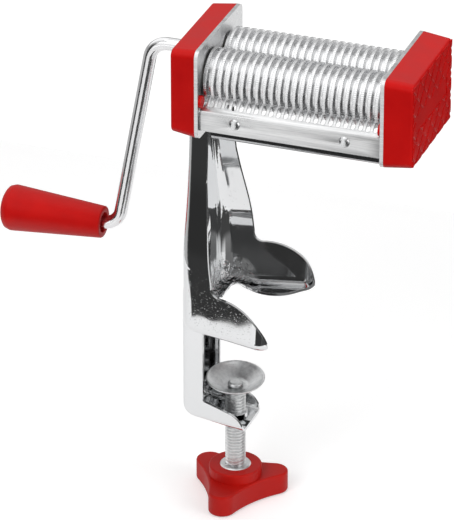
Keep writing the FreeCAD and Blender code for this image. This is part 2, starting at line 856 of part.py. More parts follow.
def crank():
    """A bent round rod: along the rear axle, down the splayed arm and into the grip."""
    body = doc.addObject("PartDesign::Body", "crank_bent_rod")
    path = new_sketch(body, "crank_path", "XZ_Plane")
    top_run = (rod_end, axle_level)
    corner = (crank_corner, axle_level)
    foot = (crank_foot, grip_level)
    tip = (grip_start - s.grip_hold, grip_level)
    spots = [Vector(float(x), float(z), 0) for x, z in (top_run, corner, foot, tip)]
    for k in range(3):
        path.addGeometry(Part.LineSegment(spots[k], spots[k + 1]), False)
    for k in range(2):
        path.addConstraint(Sketcher.Constraint("Coincident", k, 2, k + 1, 1))
    for k, point in enumerate((top_run, corner, foot)):
        pin_point(path, k, 1, point)
    pin_point(path, 2, 2, tip)
    doc.recompute()
    bend = float(s.crank_bend)
    for k in range(2):
        path.fillet(k, 2, bend)
    tie(path, "AttachmentOffset.Base.z", -rear_axle)
    doc.recompute()
    ring = new_sketch(body, "crank_section", "YZ_Plane")
    ring.addGeometry(Part.Circle(Vector(float(rear_axle), float(axle_level), 0), Vector(0, 0, 1),
                                 float(s.rod_across) / 2), False)
    pin_point(ring, 0, 3, (rear_axle, axle_level))
    index = ring.addConstraint(Sketcher.Constraint("Radius", 0, float(s.rod_across) / 2))
    ring.setExpression("Constraints[%d]" % index, (s.rod_across / 2).formula)
    tie(ring, "AttachmentOffset.Base.z", rod_end)
    doc.recompute()
    pipe = body.newObject("PartDesign::AdditivePipe", "crank_sweep")
    pipe.Profile = ring
    pipe.Spine = (path, ["Edge%d" % (k + 1) for k in range(len(path.Shape.Edges))])
    pipe.Transition = "Transformed"
    body.Tip = pipe
    pin_hole = rod_z("crank_pin_hole", s.pin_across / 2, axle_level - s.rod_across,
                     axle_level + s.rod_across, pin_middle, rear_axle)
    collar = rod_x("grip_groove_out", s.rod_across, clip_x - s.clip_thick, clip_x,
                   rear_axle, grip_level)
    core = rod_x("grip_groove_in", groove_radius, clip_x - s.clip_thick - 1, clip_x + 1,
                 rear_axle, grip_level)
    groove = cut("grip_groove", collar, [core])
    return node(cut("crank_rod", body, [pin_hole, groove]), "crank_rod")


clip_x = grip_start - s.grip_hold + s.grip_clip_inset
groove_radius = s.rod_across / 2 - s.grip_groove_deep
crank()
crank_pin = rod_z("crank_pin", s.pin_across / 2, axle_level - s.journal_across / 2,
                  axle_level + s.journal_across / 2, pin_middle, rear_axle)
node(crank_pin, "crank_pin")

clip_ring = rod_x("grip_clip_ring", s.rod_across / 2 + s.grip_clip_wall, clip_x - s.clip_thick,
                  clip_x, rear_axle, grip_level)
clip_eye = rod_x("grip_clip_eye", groove_radius, clip_x - s.clip_thick - 1, clip_x + 1,
                 rear_axle, grip_level)
clip_slit = block("grip_clip_slit",
                  (clip_x - s.clip_thick - 1, rear_axle - s.grip_clip_slit / 2, grip_level),
                  (clip_x + 1, rear_axle + s.grip_clip_slit / 2, grip_level + s.rod_across))
node(cut("grip_clip", clip_ring, [clip_eye, clip_slit]), "grip_clip")


def grip():
    """A tapered plastic grip with a domed end, turned about its own axis."""
    hole = s.rod_across / 2 + s.running_gap
    pocket = s.rod_across / 2 + s.grip_clip_wall + s.running_gap * 2
    bore_end = s.grip_hold + s.grip_bore_spare
    clip_side = s.grip_hold - s.grip_clip_inset
    room = s.clip_thick + s.end_play
    rim = s.grip_long
    profile = [
        (0.0, s.grip_recess / 2), (0.0, s.grip_small / 2), (rim, s.grip_large / 2),
        (rim + s.grip_dome * 0.45, s.grip_large * 0.44), (rim + s.grip_dome * 0.8, s.grip_large * 0.3),
        (rim + s.grip_dome * 0.96, s.grip_large * 0.15), (rim + s.grip_dome, as_size(0)),
        (bore_end, as_size(0)), (bore_end, hole), (clip_side + room, hole),
        (clip_side + room, pocket), (clip_side - s.end_play, pocket),
        (clip_side - s.end_play, hole), (s.grip_recess_deep, hole),
        (s.grip_recess_deep, s.grip_recess / 2),
    ]
    body = turned("crank_grip", [(-as_size(along), radius) for along, radius in profile], "X_Axis")
    put(body, grip_start, rear_axle, grip_level)
    return node(body, "crank_grip")


grip()

# ---------------------------------------------------------------- clamp stand


def stand_plan(inset, level, half, fold):
    """The column's section at one level: a web, two folds and two splayed sides.

    In front it closes with two round noses, which shape the tips of the feet."""
    slope = float(s.splay)
    back = -float(s.web_back) + inset
    front = float(s.foot_front) - inset
    half_back = half + slope * inset - inset * math.sqrt(1 + slope * slope)
    half_front = half_back + slope * (front - back)
    nose = float(s.foot_nose) - inset
    corners = [(back, half_back, fold - inset), (front, half_front, nose),
               (front, -half_front, nose), (back, -half_back, fold - inset)]
    return rounded(corners, lambda u, v: Vector(u, v, level))


def stand_column(inset):
    """The column as a solid: an upright foot with a rounded sole, and a lofted neck above."""
    foot_top = float(s.foot_wall)
    foot_half = float(s.foot_half)
    foot_fold = float(s.foot_fold)
    sole = stand_plan(inset, inset, foot_half, foot_fold)
    foot = slab(sole, Vector(0, 0, foot_top - inset))
    rim = [edge for edge in foot.Edges if edge.BoundBox.ZMax < inset + 0.01]
    foot = foot.makeFillet(float(s.foot_round) - inset, rim)
    stations = [(foot_top, foot_half, foot_fold)]
    for name in ("calf", "waist", "chest", "neck"):
        stations.append(tuple(getattr(sheet, "%s_%s" % (name, what)) for what in ("level", "half", "fold")))
    stations.append((float(stand_top) + 2, float(s.stand_top_half), float(s.neck_fold)))
    neck = Part.makeLoft([stand_plan(inset, *station) for station in stations], True, False)
    return foot.fuse(neck)


def stand_spine(inset, crown):
    """The rib, the spine and the lower arm as a solid of one width, up to the level crown."""
    back = -float(s.spine_back) + inset
    web = -float(s.web_back) + inset
    inside = web + 1
    front = float(s.foot_front)
    half = float(s.spine_half) - inset
    arm_slope = float((s.arm_toe_low - s.arm_heel_low) / (s.arm_tip + s.spine_back))
    rib_slope = float((s.rib_top - s.rib_low) / (s.spine_back - s.web_back))

    def floor(x):
        rise = inset * math.sqrt(1 + arm_slope * arm_slope)
        return -float(s.arm_heel_low) - arm_slope * (x + float(s.spine_back)) + rise

    rib_foot = float(s.rib_low) - inset * math.tan(math.atan(1 / rib_slope) / 2)
    rib_head = rib_foot + rib_slope * (inside - back)
    corners = [(front, floor(front), 0), (back, floor(back), float(s.arm_corner) - inset),
               (back, rib_foot, float(s.rib_round) - inset), (inside, rib_head, 0),
               (inside, crown, 0), (front, crown, 0)]
    solid = slab(rounded(corners, lambda u, v: Vector(u, -half, v)), Vector(0, 2 * half, 0))
    folds = [edge for edge in solid.Edges
             if abs(abs(edge.CenterOfMass.y) - half) < 0.01
             and edge.CenterOfMass.x < front - 0.01
             and abs(edge.CenterOfMass.x - inside) > 0.01
             and abs(edge.CenterOfMass.z - crown) > 0.01]
    return solid.makeFillet(float(s.spine_round) - inset, folds)


def stand_side():
    """The stand's side view, cut to its free edges: flanges, feet, spine and arm."""
    far = -s.spine_back - 5
    low = -s.arm_toe_low - 5
    plate = -s.head_reach
    shelf = s.head_level - s.head_tall / 2 - s.slot_play
    root = s.arm_root_round
    return wire_xz([
        (far, stand_top),
        (far, low),
        (s.arm_tip, low),
        (s.arm_tip, -s.arm_toe_low),
        (s.arm_brow_x, -s.arm_brow_z, s.arm_cheek_x, -s.arm_cheek_z),
        (root - s.spine_edge, -s.arm_edge - root * 0.3),
        (-s.spine_edge, root - s.arm_edge, root * 0.3 - s.spine_edge, -s.arm_edge),
        (-s.spine_edge, 0.0),
        (s.foot_tip, 0.0),
        (s.foot_knee_x, s.foot_knee_z, s.foot_bulge_x, s.foot_bulge_z),
        (-s.flange_foot_edge, s.flange_foot_level, s.ankle_x, s.ankle_z),
        (-s.flange_chest_edge, s.chest_level),
        (-s.flange_neck_edge, s.neck_level),
        (-s.flange_neck_edge, shelf),
        (plate, shelf),
        (plate, stand_top),
    ], -80.0)


def stand_throat():
    """The plan of the opening between the two feet, as a tool that cuts the sole away."""
    shoulder = -float(s.shoulder_edge)
    corner = float(s.throat_half)
    corner_round = float(s.throat_corner)
    tip = float(s.foot_tip)
    wide = float(s.throat_tip_y)
    points = [(shoulder + corner_round, corner)]
    for name in ("root", "ball", "arch", "toe"):
        points.append((getattr(sheet, "throat_%s_x" % name), getattr(sheet, "throat_%s_y" % name)))
    points.append((tip, wide))
    edges = []
    for sign in (1, -1):
        curve = Part.BSplineCurve()
        curve.interpolate([Vector(x, y * sign, -1) for x, y in points])
        edges.append(curve.toShape())
        bend = Part.Arc(Vector(shoulder, (corner - corner_round) * sign, -1),
                        Vector(shoulder + corner_round * 0.29, (corner - corner_round * 0.29) * sign, -1),
                        Vector(shoulder + corner_round, corner * sign, -1))
        edges.append(bend.toShape())
    edges.append(Part.LineSegment(Vector(tip, -wide, -1), Vector(tip, wide, -1)).toShape())
    edges.append(Part.LineSegment(Vector(shoulder, corner_round - corner, -1),
                                  Vector(shoulder, corner - corner_round, -1)).toShape())
    wire = Part.Wire(Part.__sortEdges__(edges))
    return slab(wire, Vector(0, 0, float(s.foot_round) + 1))


def clamp_stand():
    """One drawn sheet: column, two feet, spine and lower arm, open towards the table."""
    thick = float(s.sheet)
    skin = stand_column(0.0).fuse(stand_spine(0.0, 0.0))
    room = stand_column(thick).fuse(stand_spine(thick, float(s.foot_round)))
    side = slab(stand_side(), Vector(0, 160, 0))
    shell = skin.cut(room).common(side).cut(stand_throat())
    toe_low = float(s.arm_toe_low)
    bow_radius = float(s.arm_bow_round)
    bow_middle = float(s.arm_tip) + float(s.arm_bow) - bow_radius
    # the arm's tip is bowed in plan: a round tool keeps it, and two blocks keep all the rest
    beyond = float(stand_top) + toe_low
    keep = Part.makeCylinder(bow_radius, 2 * beyond, Vector(bow_middle, 0, -beyond))
    upper = Part.makeBox(beyond, beyond, beyond, Vector(-beyond / 2, -beyond / 2, -float(s.arm_edge)))
    back = Part.makeBox(beyond, beyond, beyond, Vector(-beyond, -beyond / 2, -beyond))
    shell = shell.common(keep.fuse(upper).fuse(back))
    for sign in (-1, 1):
        inner = float(s.stand_top_half) * 0.8
        ear = Part.makeBox(thick, float(s.ear_out) - inner, float(s.ear_tall),
                           Vector(float(left_face) - thick, inner, float(ear_low)))
        if sign < 0:
            ear = ear.mirror(Vector(), Vector(0, 1, 0))
        shell = shell.fuse(ear.cut(room))
    collar_low = -(toe_low + float(s.arm_heel_low)) / 2
    collar = Part.makeCylinder(float(s.collar_across) / 2, float(s.collar_tall) + thick,
                               Vector(0, 0, collar_low - thick))
    shell = shell.fuse(collar.common(room)).cut(
        Part.makeCylinder(float(bore_radius), toe_low, Vector(0, 0, -toe_low - thick)))
    for sign in (-1, 1):
        for level in ear_rivet_levels():
            spot = Vector(float(left_face) - 5, float(ear_rivet_side()) * sign, float(level))
            hole = Part.makeCylinder(float(s.stand_rivet_shank) / 2, 10, spot, Vector(1, 0, 0))
            shell = shell.cut(hole)
    return shaped("clamp_stand", shell.removeSplitter())


bore_radius = s.screw_across / 2 + s.running_gap
clamp_stand()


def stand_rivets():
    """Four rivets that hold the stand's ears on the left side plate."""
    start = left_face - s.sheet
    rivets = []
    for k, sign in enumerate((-1, 1)):
        for j, level in enumerate(ear_rivet_levels()):
            spot = (start, ear_rivet_side() * sign, level)
            rivets.append(rivet("stand_rivet_%d_%d" % (k, j), s.stand_rivet_shank,
                                s.sheet + s.plate_thick, s.stand_rivet_head, s.stand_rivet_dome,
                                s.stand_rivet_head * 0.8, s.bush_nose, spot, (1, 0, 0)))
    group = doc.addObject("Part::Compound", "stand_rivets")
    group.Links = rivets
    return node(group, "stand_rivets")


stand_rivets()

# ---------------------------------------------------------------- clamp screw, cup and knob

screw_top = -s.cup_level - s.cup_deep
cup = turned("cup_body", [
    (screw_top, s.neck_across / 2 + s.running_gap), (screw_top, s.cup_flat / 2),
    (-s.cup_level - s.cup_rim, s.cup_across / 2), (-s.cup_level, s.cup_across / 2),
    (-s.cup_level, s.cup_across / 2 - 0.7), (screw_top + s.cup_sheet, s.cup_flat / 2 - 0.5),
    (screw_top + s.cup_sheet, s.neck_across / 2 + s.running_gap)], "Z_Axis")
node(cup, "pressure_cup")

insert_top = -s.knob_level + s.insert_proud
insert_low = insert_top - s.insert_deep
head_low = screw_top + s.cup_sheet + s.running_gap * 2
screw = turned("screw_body", [
    (insert_low, as_size(0)), (insert_low, s.screw_across / 2), (screw_top - 0.9, s.screw_across / 2),
    (screw_top - s.running_gap * 2, s.screw_across / 2 - 0.8),
    (screw_top - s.running_gap * 2, s.neck_across / 2), (head_low, s.neck_across / 2),
    (head_low, s.button_across / 2), (head_low + s.button_tall * 0.5, s.button_across / 2 - 0.2),
    (head_low + s.button_tall * 0.85, s.button_across * 0.34),
    (head_low + s.button_tall, as_size(0))], "Z_Axis")
node(screw, "clamp_screw")

insert = turned("insert_body", [
    (insert_low, s.screw_across / 2), (insert_low, s.insert_across / 2),
    (insert_top - 0.6, s.insert_across / 2), (insert_top, s.insert_across / 2 - 0.6),
    (insert_top, s.screw_across / 2)], "Z_Axis")
node(insert, "knob_insert")


def knob():
    """A three-lobed knob: lobes joined by shallow hollows, with a round hub on top."""
    lobe_round = float(s.lobe_round)
    lobe_place = float(s.lobe_reach) - lobe_round
    waist = float(s.lobe_waist)
    # the hollow between two lobes is an arc that touches both lobe ends and the waist
    hollow_place = ((lobe_place ** 2 - (lobe_round - waist) ** 2)
                    / (lobe_place + 2 * (lobe_round - waist)))
    hollow_radius = hollow_place - waist
    top = -float(s.knob_level + s.hub_tall)

    def around(radius, degrees):
        angle = math.radians(degrees)
        return Vector(radius * math.cos(angle), radius * math.sin(angle), top - float(s.lobe_tall))

    edges = []
    for k in range(3):
        facing = -90 + 120 * k
        lobe = around(lobe_place, facing)
        before = around(hollow_place, facing - 60)
        after = around(hollow_place, facing + 60)
        share = lobe_round / (lobe_round + hollow_radius)
        touch_before = lobe + (before - lobe) * share
        touch_after = lobe + (after - lobe) * share
        edges.append(Part.Arc(touch_before, around(float(s.lobe_reach), facing), touch_after).toShape())
        next_lobe = around(lobe_place, facing + 120)
        next_touch = next_lobe + (after - next_lobe) * share
        edges.append(Part.Arc(touch_after, around(waist, facing + 60), next_touch).toShape())
    lobes = slab(Part.Wire(edges), Vector(0, 0, float(s.lobe_tall)))
    rims = [edge for edge in lobes.Edges
            if edge.BoundBox.ZLength < 0.01]
    lobes = lobes.makeFillet(float(s.knob_round), rims)
    hub = Part.makeCylinder(float(s.hub_across) / 2, float(s.hub_tall) + 4,
                            Vector(0, 0, top - 4))
    crown = [edge for edge in hub.Edges if edge.BoundBox.ZMin > -float(s.knob_level) - 0.01]
    hub = hub.makeFillet(float(s.knob_round) * 0.8, crown)
    pocket = Part.makeCylinder(float(s.insert_across) / 2, float(s.insert_deep),
                               Vector(0, 0, float(insert_low)))
    return shaped("clamp_knob", lobes.fuse(hub).cut(pocket).removeSplitter())


knob()

# ---------------------------------------------------------------- checks and export

doc.recompute()
for thing in doc.Objects:
    if "Invalid" in thing.State or "Error" in thing.State:
        raise RuntimeError("%s did not build: %s" % (thing.Name, thing.State))
for thing in nodes:
    if thing.Shape.isNull() or not thing.Shape.isValid():
        raise RuntimeError("%s has no sound shape" % thing.Label)
for thing in nodes:
    thing.Shape.exportStep("parts/%s.step" % thing.Label)
    print("%-20s %9.1f mm3, %d solid(s)" % (thing.Label, thing.Shape.Volume, len(thing.Shape.Solids)))
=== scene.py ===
# %% [markdown]
# # A hand cranked noodle cutter
# The solids come from CAD and stay as they are.  This lesson gives them their metals and
# plastics, and models what the solids leave plain: the fine teeth of the cutting rings, the
# bent combs, the clamp screw's thread, the thin lip of its cup, the pads on the end cap and
# the soft rounding of the moulded grip.

# %% Load the frame
import math

import bpy
from mathutils import Matrix, Vector


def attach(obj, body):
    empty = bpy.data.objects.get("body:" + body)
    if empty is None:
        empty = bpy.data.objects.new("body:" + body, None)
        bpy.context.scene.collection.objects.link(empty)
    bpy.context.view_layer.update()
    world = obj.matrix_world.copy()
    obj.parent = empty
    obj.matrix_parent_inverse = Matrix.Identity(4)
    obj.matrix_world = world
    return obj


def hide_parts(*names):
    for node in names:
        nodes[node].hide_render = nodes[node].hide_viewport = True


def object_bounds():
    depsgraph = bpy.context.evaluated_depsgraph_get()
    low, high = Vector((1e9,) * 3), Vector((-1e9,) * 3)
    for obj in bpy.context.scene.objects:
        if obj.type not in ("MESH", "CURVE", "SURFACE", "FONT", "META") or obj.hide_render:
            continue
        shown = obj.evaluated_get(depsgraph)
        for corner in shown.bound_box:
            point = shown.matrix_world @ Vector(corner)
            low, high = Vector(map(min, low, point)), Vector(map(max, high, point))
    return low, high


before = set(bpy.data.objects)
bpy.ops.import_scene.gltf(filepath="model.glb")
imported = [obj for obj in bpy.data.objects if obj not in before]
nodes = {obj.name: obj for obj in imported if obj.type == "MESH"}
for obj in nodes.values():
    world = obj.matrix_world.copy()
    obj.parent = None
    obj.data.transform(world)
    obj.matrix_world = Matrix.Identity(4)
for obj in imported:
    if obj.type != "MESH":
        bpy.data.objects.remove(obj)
cad_low, cad_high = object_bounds()
MM = 0.001
print("CAD nodes:", len(nodes), "box in mm:", [round(v / MM, 1) for v in (*cad_low, *cad_high)])

# %% [markdown]
# ## Camera
# The camera looks from the front right and from above with a long lens, so lines that run
# away from the eye stay nearly parallel.  The camera's own right, up and backward
# directions make its turn directly, with no angles to convert.

# %% Camera
eye = Vector((0.7425, -2.0735, 1.1707))
right = Vector((0.9408, 0.3391, 0.0))
up = Vector((-0.1559, 0.4325, 0.8881))
back = Vector((0.3011, -0.8355, 0.4597))
camera_data = bpy.data.cameras.new("studio_camera")
camera_data.lens = 326.9
camera_data.sensor_width = 36.0
camera = bpy.data.objects.new("studio_camera", camera_data)
bpy.context.scene.collection.objects.link(camera)
camera.matrix_world = Matrix.Translation(eye) @ Matrix((right, up, back)).transposed().to_4x4()
bpy.context.scene.camera = camera
bpy.context.scene.view_settings.view_transform = "Standard"
print("camera distance in m:", round(eye.length, 2))

# %% [markdown]
# ## Colours and nodes
# Colours are written as sRGB hex values, as a paint program shows them, and one function
# turns them into the linear values that the shader works with.  Another small function adds
# a node with its settings and links, so every material below reads as a short list.

# %% Colour and node helpers


def linear(hex_colour):
    """An sRGB colour such as "C81E1A" as linear red, green, blue and alpha."""
    channels = [int(hex_colour[k:k + 2], 16) / 255 for k in (0, 2, 4)]
    curve = [c / 12.92 if c <= 0.04045 else ((c + 0.055) / 1.055) ** 2.4 for c in channels]
    return (*curve, 1.0)


def add(tree, kind, links=None, sockets=None, **settings):
    """Adds a node: settings are its own, sockets hold values, links feed sockets."""
    node = tree.nodes.new(kind)
    for name, value in settings.items():
        setattr(node, name, value)
    for name, value in (sockets or {}).items():
        node.inputs[name].default_value = value
    for name, source in (links or {}).items():
        tree.links.new(source, node.inputs[name])
    return node


# %% [markdown]
# ## The studio
# Bright plating is mostly a picture of the room around it.  This room is dark in front and low
# at the right, pale at the left and behind, and has its brightest panel at the right.  It is
# painted by direction, one panel at a time: azimuth 0 is the front and 90 the right, and
# elevation is the angle above the level.  The camera itself sees plain white.

# %% Room
ROOM_GREY = 0.2
# Each panel: its azimuths, its elevations, half its soft edge in degrees, its brightness.
PANELS = (
    ((-200, -75), (-95, 0), 8, 0.5),
    ((100, 200), (-95, 12), 6, 0.05),
    ((-200, -85), (4, 70), 8, 0.55),
    ((-90, -18), (24, 95), 8, 0.65),
    ((-68, 22), (-95, 4), 6, 0.04),
    ((-68, -16), (-10, 22), 6, 0.03),
    ((-16, 12), (-25, 70), 6, 0.03),
    ((18, 62), (2, 60), 6, 0.16),
    ((66, 104), (-2, 34), 6, 0.85),
    ((22, 116), (-40, -6), 4, 0.06),
    ((116, 146), (6, 55), 8, 0.22),
    ((150, 200), (16, 60), 6, 0.6),
)
world = bpy.data.worlds.new("studio_room")
bpy.context.scene.world = world
world.use_nodes = True
room = world.node_tree
room.nodes.clear()
look = add(room, "ShaderNodeTexCoord").outputs["Generated"]
way = add(room, "ShaderNodeSeparateXYZ", {"Vector": look})
forward = add(room, "ShaderNodeMath", {0: way.outputs["Y"]}, {1: -1.0}, operation="MULTIPLY")
heading = add(room, "ShaderNodeMath", {0: way.outputs["X"], 1: forward.outputs[0]},
              operation="ARCTAN2")
room_azimuth = add(room, "ShaderNodeMath", {0: heading.outputs[0]}, operation="DEGREES").outputs[0]
climb = add(room, "ShaderNodeMath", {0: way.outputs["Z"]}, operation="ARCSINE")
room_elevation = add(room, "ShaderNodeMath", {0: climb.outputs[0]}, operation="DEGREES").outputs[0]


def paint_panel(under, azimuths, elevations, soft, level):
    """Paints a soft-edged panel of one brightness over what is there already."""
    mask = None
    for angle, (low, high) in ((room_azimuth, azimuths), (room_elevation, elevations)):
        for start, end in ((low - soft, low + soft), (high + soft, high - soft)):
            edge = add(room, "ShaderNodeMapRange", {"Value": angle},
                       {"From Min": start, "From Max": end}, interpolation_type="SMOOTHSTEP")
            edge = edge.outputs["Result"]
            if mask:
                edge = add(room, "ShaderNodeMath", {0: edge, 1: mask}, operation="MULTIPLY").outputs[0]
            mask = edge
    return add(room, "ShaderNodeMapRange", {"Value": mask, "To Min": under},
               {"To Max": level}).outputs["Result"]


brightness = add(room, "ShaderNodeValue").outputs[0]
brightness.default_value = ROOM_GREY
for panel in PANELS:
    brightness = paint_panel(brightness, *panel)
eye_ray = add(room, "ShaderNodeLightPath").outputs["Is Camera Ray"]
lit = add(room, "ShaderNodeBackground", {"Strength": brightness}, {"Color": linear("FFFFFF")})
plain = add(room, "ShaderNodeBackground", None, {"Color": linear("FFFFFF"), "Strength": 1.1})
backdrop = add(room, "ShaderNodeMixShader", {0: eye_ray, 1: lit.outputs[0], 2: plain.outputs[0]})
add(room, "ShaderNodeOutputWorld", {"Surface": backdrop.outputs[0]})
print("room nodes:", len(room.nodes))

# %% [markdown]
# ## Table top
# A white card lies under the tool.  Where it ends, the plating begins to show the dark of the
# room instead of the white of the card, and that sharp change is what makes polished metal
# look like polished metal.  The card is cut to shape, as cards in a studio are, so that each
# polished face shows either the card or the dark beyond it.  It glows a little for the camera
# and in mirrors, or it would look grey beside the plain white behind it.

# %% Table top
CARD_GAP = 0.5
CARD_OUTLINE = (
    (-135, -300), (-55, -300), (-50, -155), (130, -155), (200, -60), (210, 20), (300, 100),
    (320, 360), (-350, 360), (-330, -20), (-250, -160), (-200, -182), (-165, -195), (-148, -203),
)
SEEN_GLOW, MIRRORED_GLOW = 0.36, 0.2
floor_level = cad_low.z - CARD_GAP * MM
bpy.ops.object.select_all(action="DESELECT")
bpy.ops.mesh.primitive_circle_add(vertices=len(CARD_OUTLINE), fill_type="NGON")
table_top = bpy.context.object
table_top.name = "table_top"
for vertex, (x, y) in zip(table_top.data.vertices, CARD_OUTLINE):
    vertex.co = (x * MM, y * MM, floor_level)
card = bpy.data.materials.new("white_card")
card.use_nodes = True
tree = card.node_tree
shade = tree.nodes["Principled BSDF"]
shade.inputs["Base Color"].default_value = linear("E6E6E6")
shade.inputs["Roughness"].default_value = 0.9
shade.inputs["Emission Color"].default_value = linear("FFFFFF")
ray = add(tree, "ShaderNodeLightPath")
seen = add(tree, "ShaderNodeMath", {0: ray.outputs["Is Camera Ray"]}, {1: SEEN_GLOW},
           operation="MULTIPLY")
mirrored = add(tree, "ShaderNodeMath", {0: ray.outputs["Is Glossy Ray"]}, {1: MIRRORED_GLOW},
               operation="MULTIPLY")
glow = add(tree, "ShaderNodeMath", {0: seen.outputs[0], 1: mirrored.outputs[0]}, operation="ADD")
tree.links.new(glow.outputs[0], shade.inputs["Emission Strength"])
table_top.data.materials.append(card)
print("card corners:", len(CARD_OUTLINE))

# %% [markdown]
# ## Lamps
# Soft square lamps look at the middle of the tool.  Some light everything but show in no
# reflection.  The others are there for the satin and toothed metals alone: their rough
# surfaces spread a lamp's reflection into a wide sheen, which the mirror-bright stand would
# show as a hard white square.

# %% Lamps
TOOL_MIDDLE = Vector((0, 0, 0.05))
SATIN_LAMP_DISTANCE = 1.6


def facing(azimuth, elevation):
    """The direction at an azimuth (0 is the front, 90 the right) and an elevation."""
    a, e = math.radians(azimuth), math.radians(elevation)
    return Vector((math.sin(a) * math.cos(e), -math.cos(a) * math.cos(e), math.sin(e)))


def lamp(name, azimuth, elevation, distance, size, watts):
    """A soft square lamp that looks at the tool's middle; neither eye nor mirror shows it."""
    data = bpy.data.lights.new(name, "AREA")
    data.size = size
    data.energy = watts
    thing = bpy.data.objects.new(name, data)
    bpy.context.scene.collection.objects.link(thing)
    thing.location = TOOL_MIDDLE + facing(azimuth, elevation) * distance
    thing.rotation_euler = facing(azimuth, elevation).to_track_quat("Z", "Y").to_euler()
    thing.visible_camera = False
    thing.visible_glossy = False
    return thing


# Each lamp: its azimuth, elevation, distance and size in metres, and watts.
lamp("top_lamp", 150, 75, 1.6, 1.4, 6)
lamp("front_lamp", -10, 30, 1.8, 1.2, 19)
lamp("right_lamp", 75, 20, 1.8, 1.2, 14)
# A sheen is a lamp's own reflection, so the satin lamps have to show in reflections.
satin_metals = bpy.data.collections.new("satin_metals")
for name, azimuth, elevation, size, watts in (
        ("satin_front_lamp", -20, 22, 1.7, 8.0),
        ("satin_low_lamp", -22, -24, 1.3, 4.6),
        ("satin_top_lamp", 20, 80, 1.7, 9.0),
        ("satin_right_lamp", 75, 10, 1.3, 6.0),
        ("satin_rear_lamp", 155, -6, 1.3, 5.0),
        ("satin_back_lamp", -120, 38, 1.5, 4.0)):
    sheen = lamp(name, azimuth, elevation, SATIN_LAMP_DISTANCE, size, watts)
    sheen.visible_glossy = True
    sheen.light_linking.receiver_collection = satin_metals
print("lamps:", len(bpy.data.lights))

# %% [markdown]
# ## Metals
# Every metal here starts from its plating or its bare colour.  What tells them apart is how
# the surface was made: the stand was polished before plating, so it mirrors with a slight
# wave; rolled sheet keeps faint lines along the rollers; turned pieces keep rings.

# %% A new finish
NOISE_LOW, NOISE_HIGH = 0.3, 0.7  # nearly all of a noise pattern lies between these


def new_finish(name, hex_colour, **sockets):
    """A material with its colour and other sockets set, its tree and its coordinates."""
    mat = bpy.data.materials.new(name)
    mat.use_nodes = True
    tree = mat.node_tree
    shader = tree.nodes["Principled BSDF"]
    shader.inputs["Base Color"].default_value = linear(hex_colour)
    for label, value in sockets.items():
        shader.inputs[label.replace("_", " ")].default_value = value
    place = add(tree, "ShaderNodeTexCoord").outputs["Object"]
    return mat, tree, shader, place


def grain(tree, place, size_mm, stretch=(1, 1, 1), detail=2.0):
    """Noise with grains of a real size; stretch makes them longer along an axis."""
    turned = add(tree, "ShaderNodeMapping", {"Vector": place},
                 {"Scale": [1 / (size_mm * MM * s) for s in stretch]})
    return add(tree, "ShaderNodeTexNoise", {"Vector": turned.outputs[0]},
               {"Scale": 1.0, "Detail": detail}).outputs["Fac"]


def vary(tree, shader, socket, fac, low, high):
    """Lets a pattern move a shader's number between two values."""
    reach = add(tree, "ShaderNodeMapRange", {"Value": fac},
                {"From Min": NOISE_LOW, "From Max": NOISE_HIGH, "To Min": low, "To Max": high})
    tree.links.new(reach.outputs["Result"], shader.inputs[socket])


def tint(tree, shader, fac, first, second):
    """Lets a pattern move the colour between two hex colours."""
    reach = add(tree, "ShaderNodeMapRange", {"Value": fac},
                {"From Min": NOISE_LOW, "From Max": NOISE_HIGH})
    mix = add(tree, "ShaderNodeMix", {0: reach.outputs["Result"]}, data_type="RGBA")
    mix.inputs[6].default_value = linear(first)
    mix.inputs[7].default_value = linear(second)
    tree.links.new(mix.outputs[2], shader.inputs["Base Color"])


def relief(tree, shader, layers, soft_edge_mm=0.0):
    """Bumps of a real height in millimetres, one on another, over softened edges."""
    normal = None
    if soft_edge_mm:
        normal = add(tree, "ShaderNodeBevel", None, {"Radius": soft_edge_mm * MM}, samples=4)
        normal = normal.outputs["Normal"]
    for height, tall_mm in layers:
        links = {"Height": height}
        if normal:
            links["Normal"] = normal
        normal = add(tree, "ShaderNodeBump", links,
                     {"Strength": 1.0, "Distance": tall_mm * MM}).outputs["Normal"]
    tree.links.new(normal, shader.inputs["Normal"])


# %% [markdown]
# ### Bright nickel on drawn sheet
# The stand is deep drawn from one sheet, polished and nickel plated.  Polishing leaves long
# shallow waves, dust under the nickel a few specks that catch the light, and wiping dull
# clouds.  Real specks are about 0.3 mm across; they are drawn 0.9 mm here, or they would not
# show.  At the knot where the rear foot leaves the column the sheet was squeezed, and it is
# creased there.  The rear half also swells outward as it nears the foot.  The solid runs
# straight, so both the creases and the swell are relief.

# %% Bright nickel sheet
KNOT_SPOT = (-0.0115, 0.0195, 0.003)
KNOT_OUTER, KNOT_INNER = 19, 8
SWELL_FULL, SWELL_NONE = -12, 40
SWELL_FRONT, SWELL_REAR = -10, 0
bright_sheet, tree, shader, place = new_finish("bright_nickel_sheet", "EBECED", Metallic=1.0)
waves = grain(tree, place, 14, (1, 1, 1.6), 1.0)
clouds = grain(tree, place, 22, (1, 1, 1), 4.0)
specks = grain(tree, place, 0.9, (1, 1, 1), 1.0)
few_specks = add(tree, "ShaderNodeMapRange", {"Value": specks}, {"From Min": 0.66, "From Max": 0.74})
vary(tree, shader, "Roughness", clouds, 0.02, 0.07)
knot = add(tree, "ShaderNodeVectorMath", {0: place}, {1: KNOT_SPOT}, operation="DISTANCE")
creased = add(tree, "ShaderNodeMapRange", {"Value": knot.outputs["Value"]},
              {"From Min": KNOT_OUTER * MM, "From Max": KNOT_INNER * MM},
              interpolation_type="SMOOTHSTEP")
creases = grain(tree, place, 4.5, (1, 1, 1), 3.0)
knot_height = add(tree, "ShaderNodeMath", {0: creases, 1: creased.outputs["Result"]},
                  operation="MULTIPLY")
spot = add(tree, "ShaderNodeSeparateXYZ", {"Vector": place})
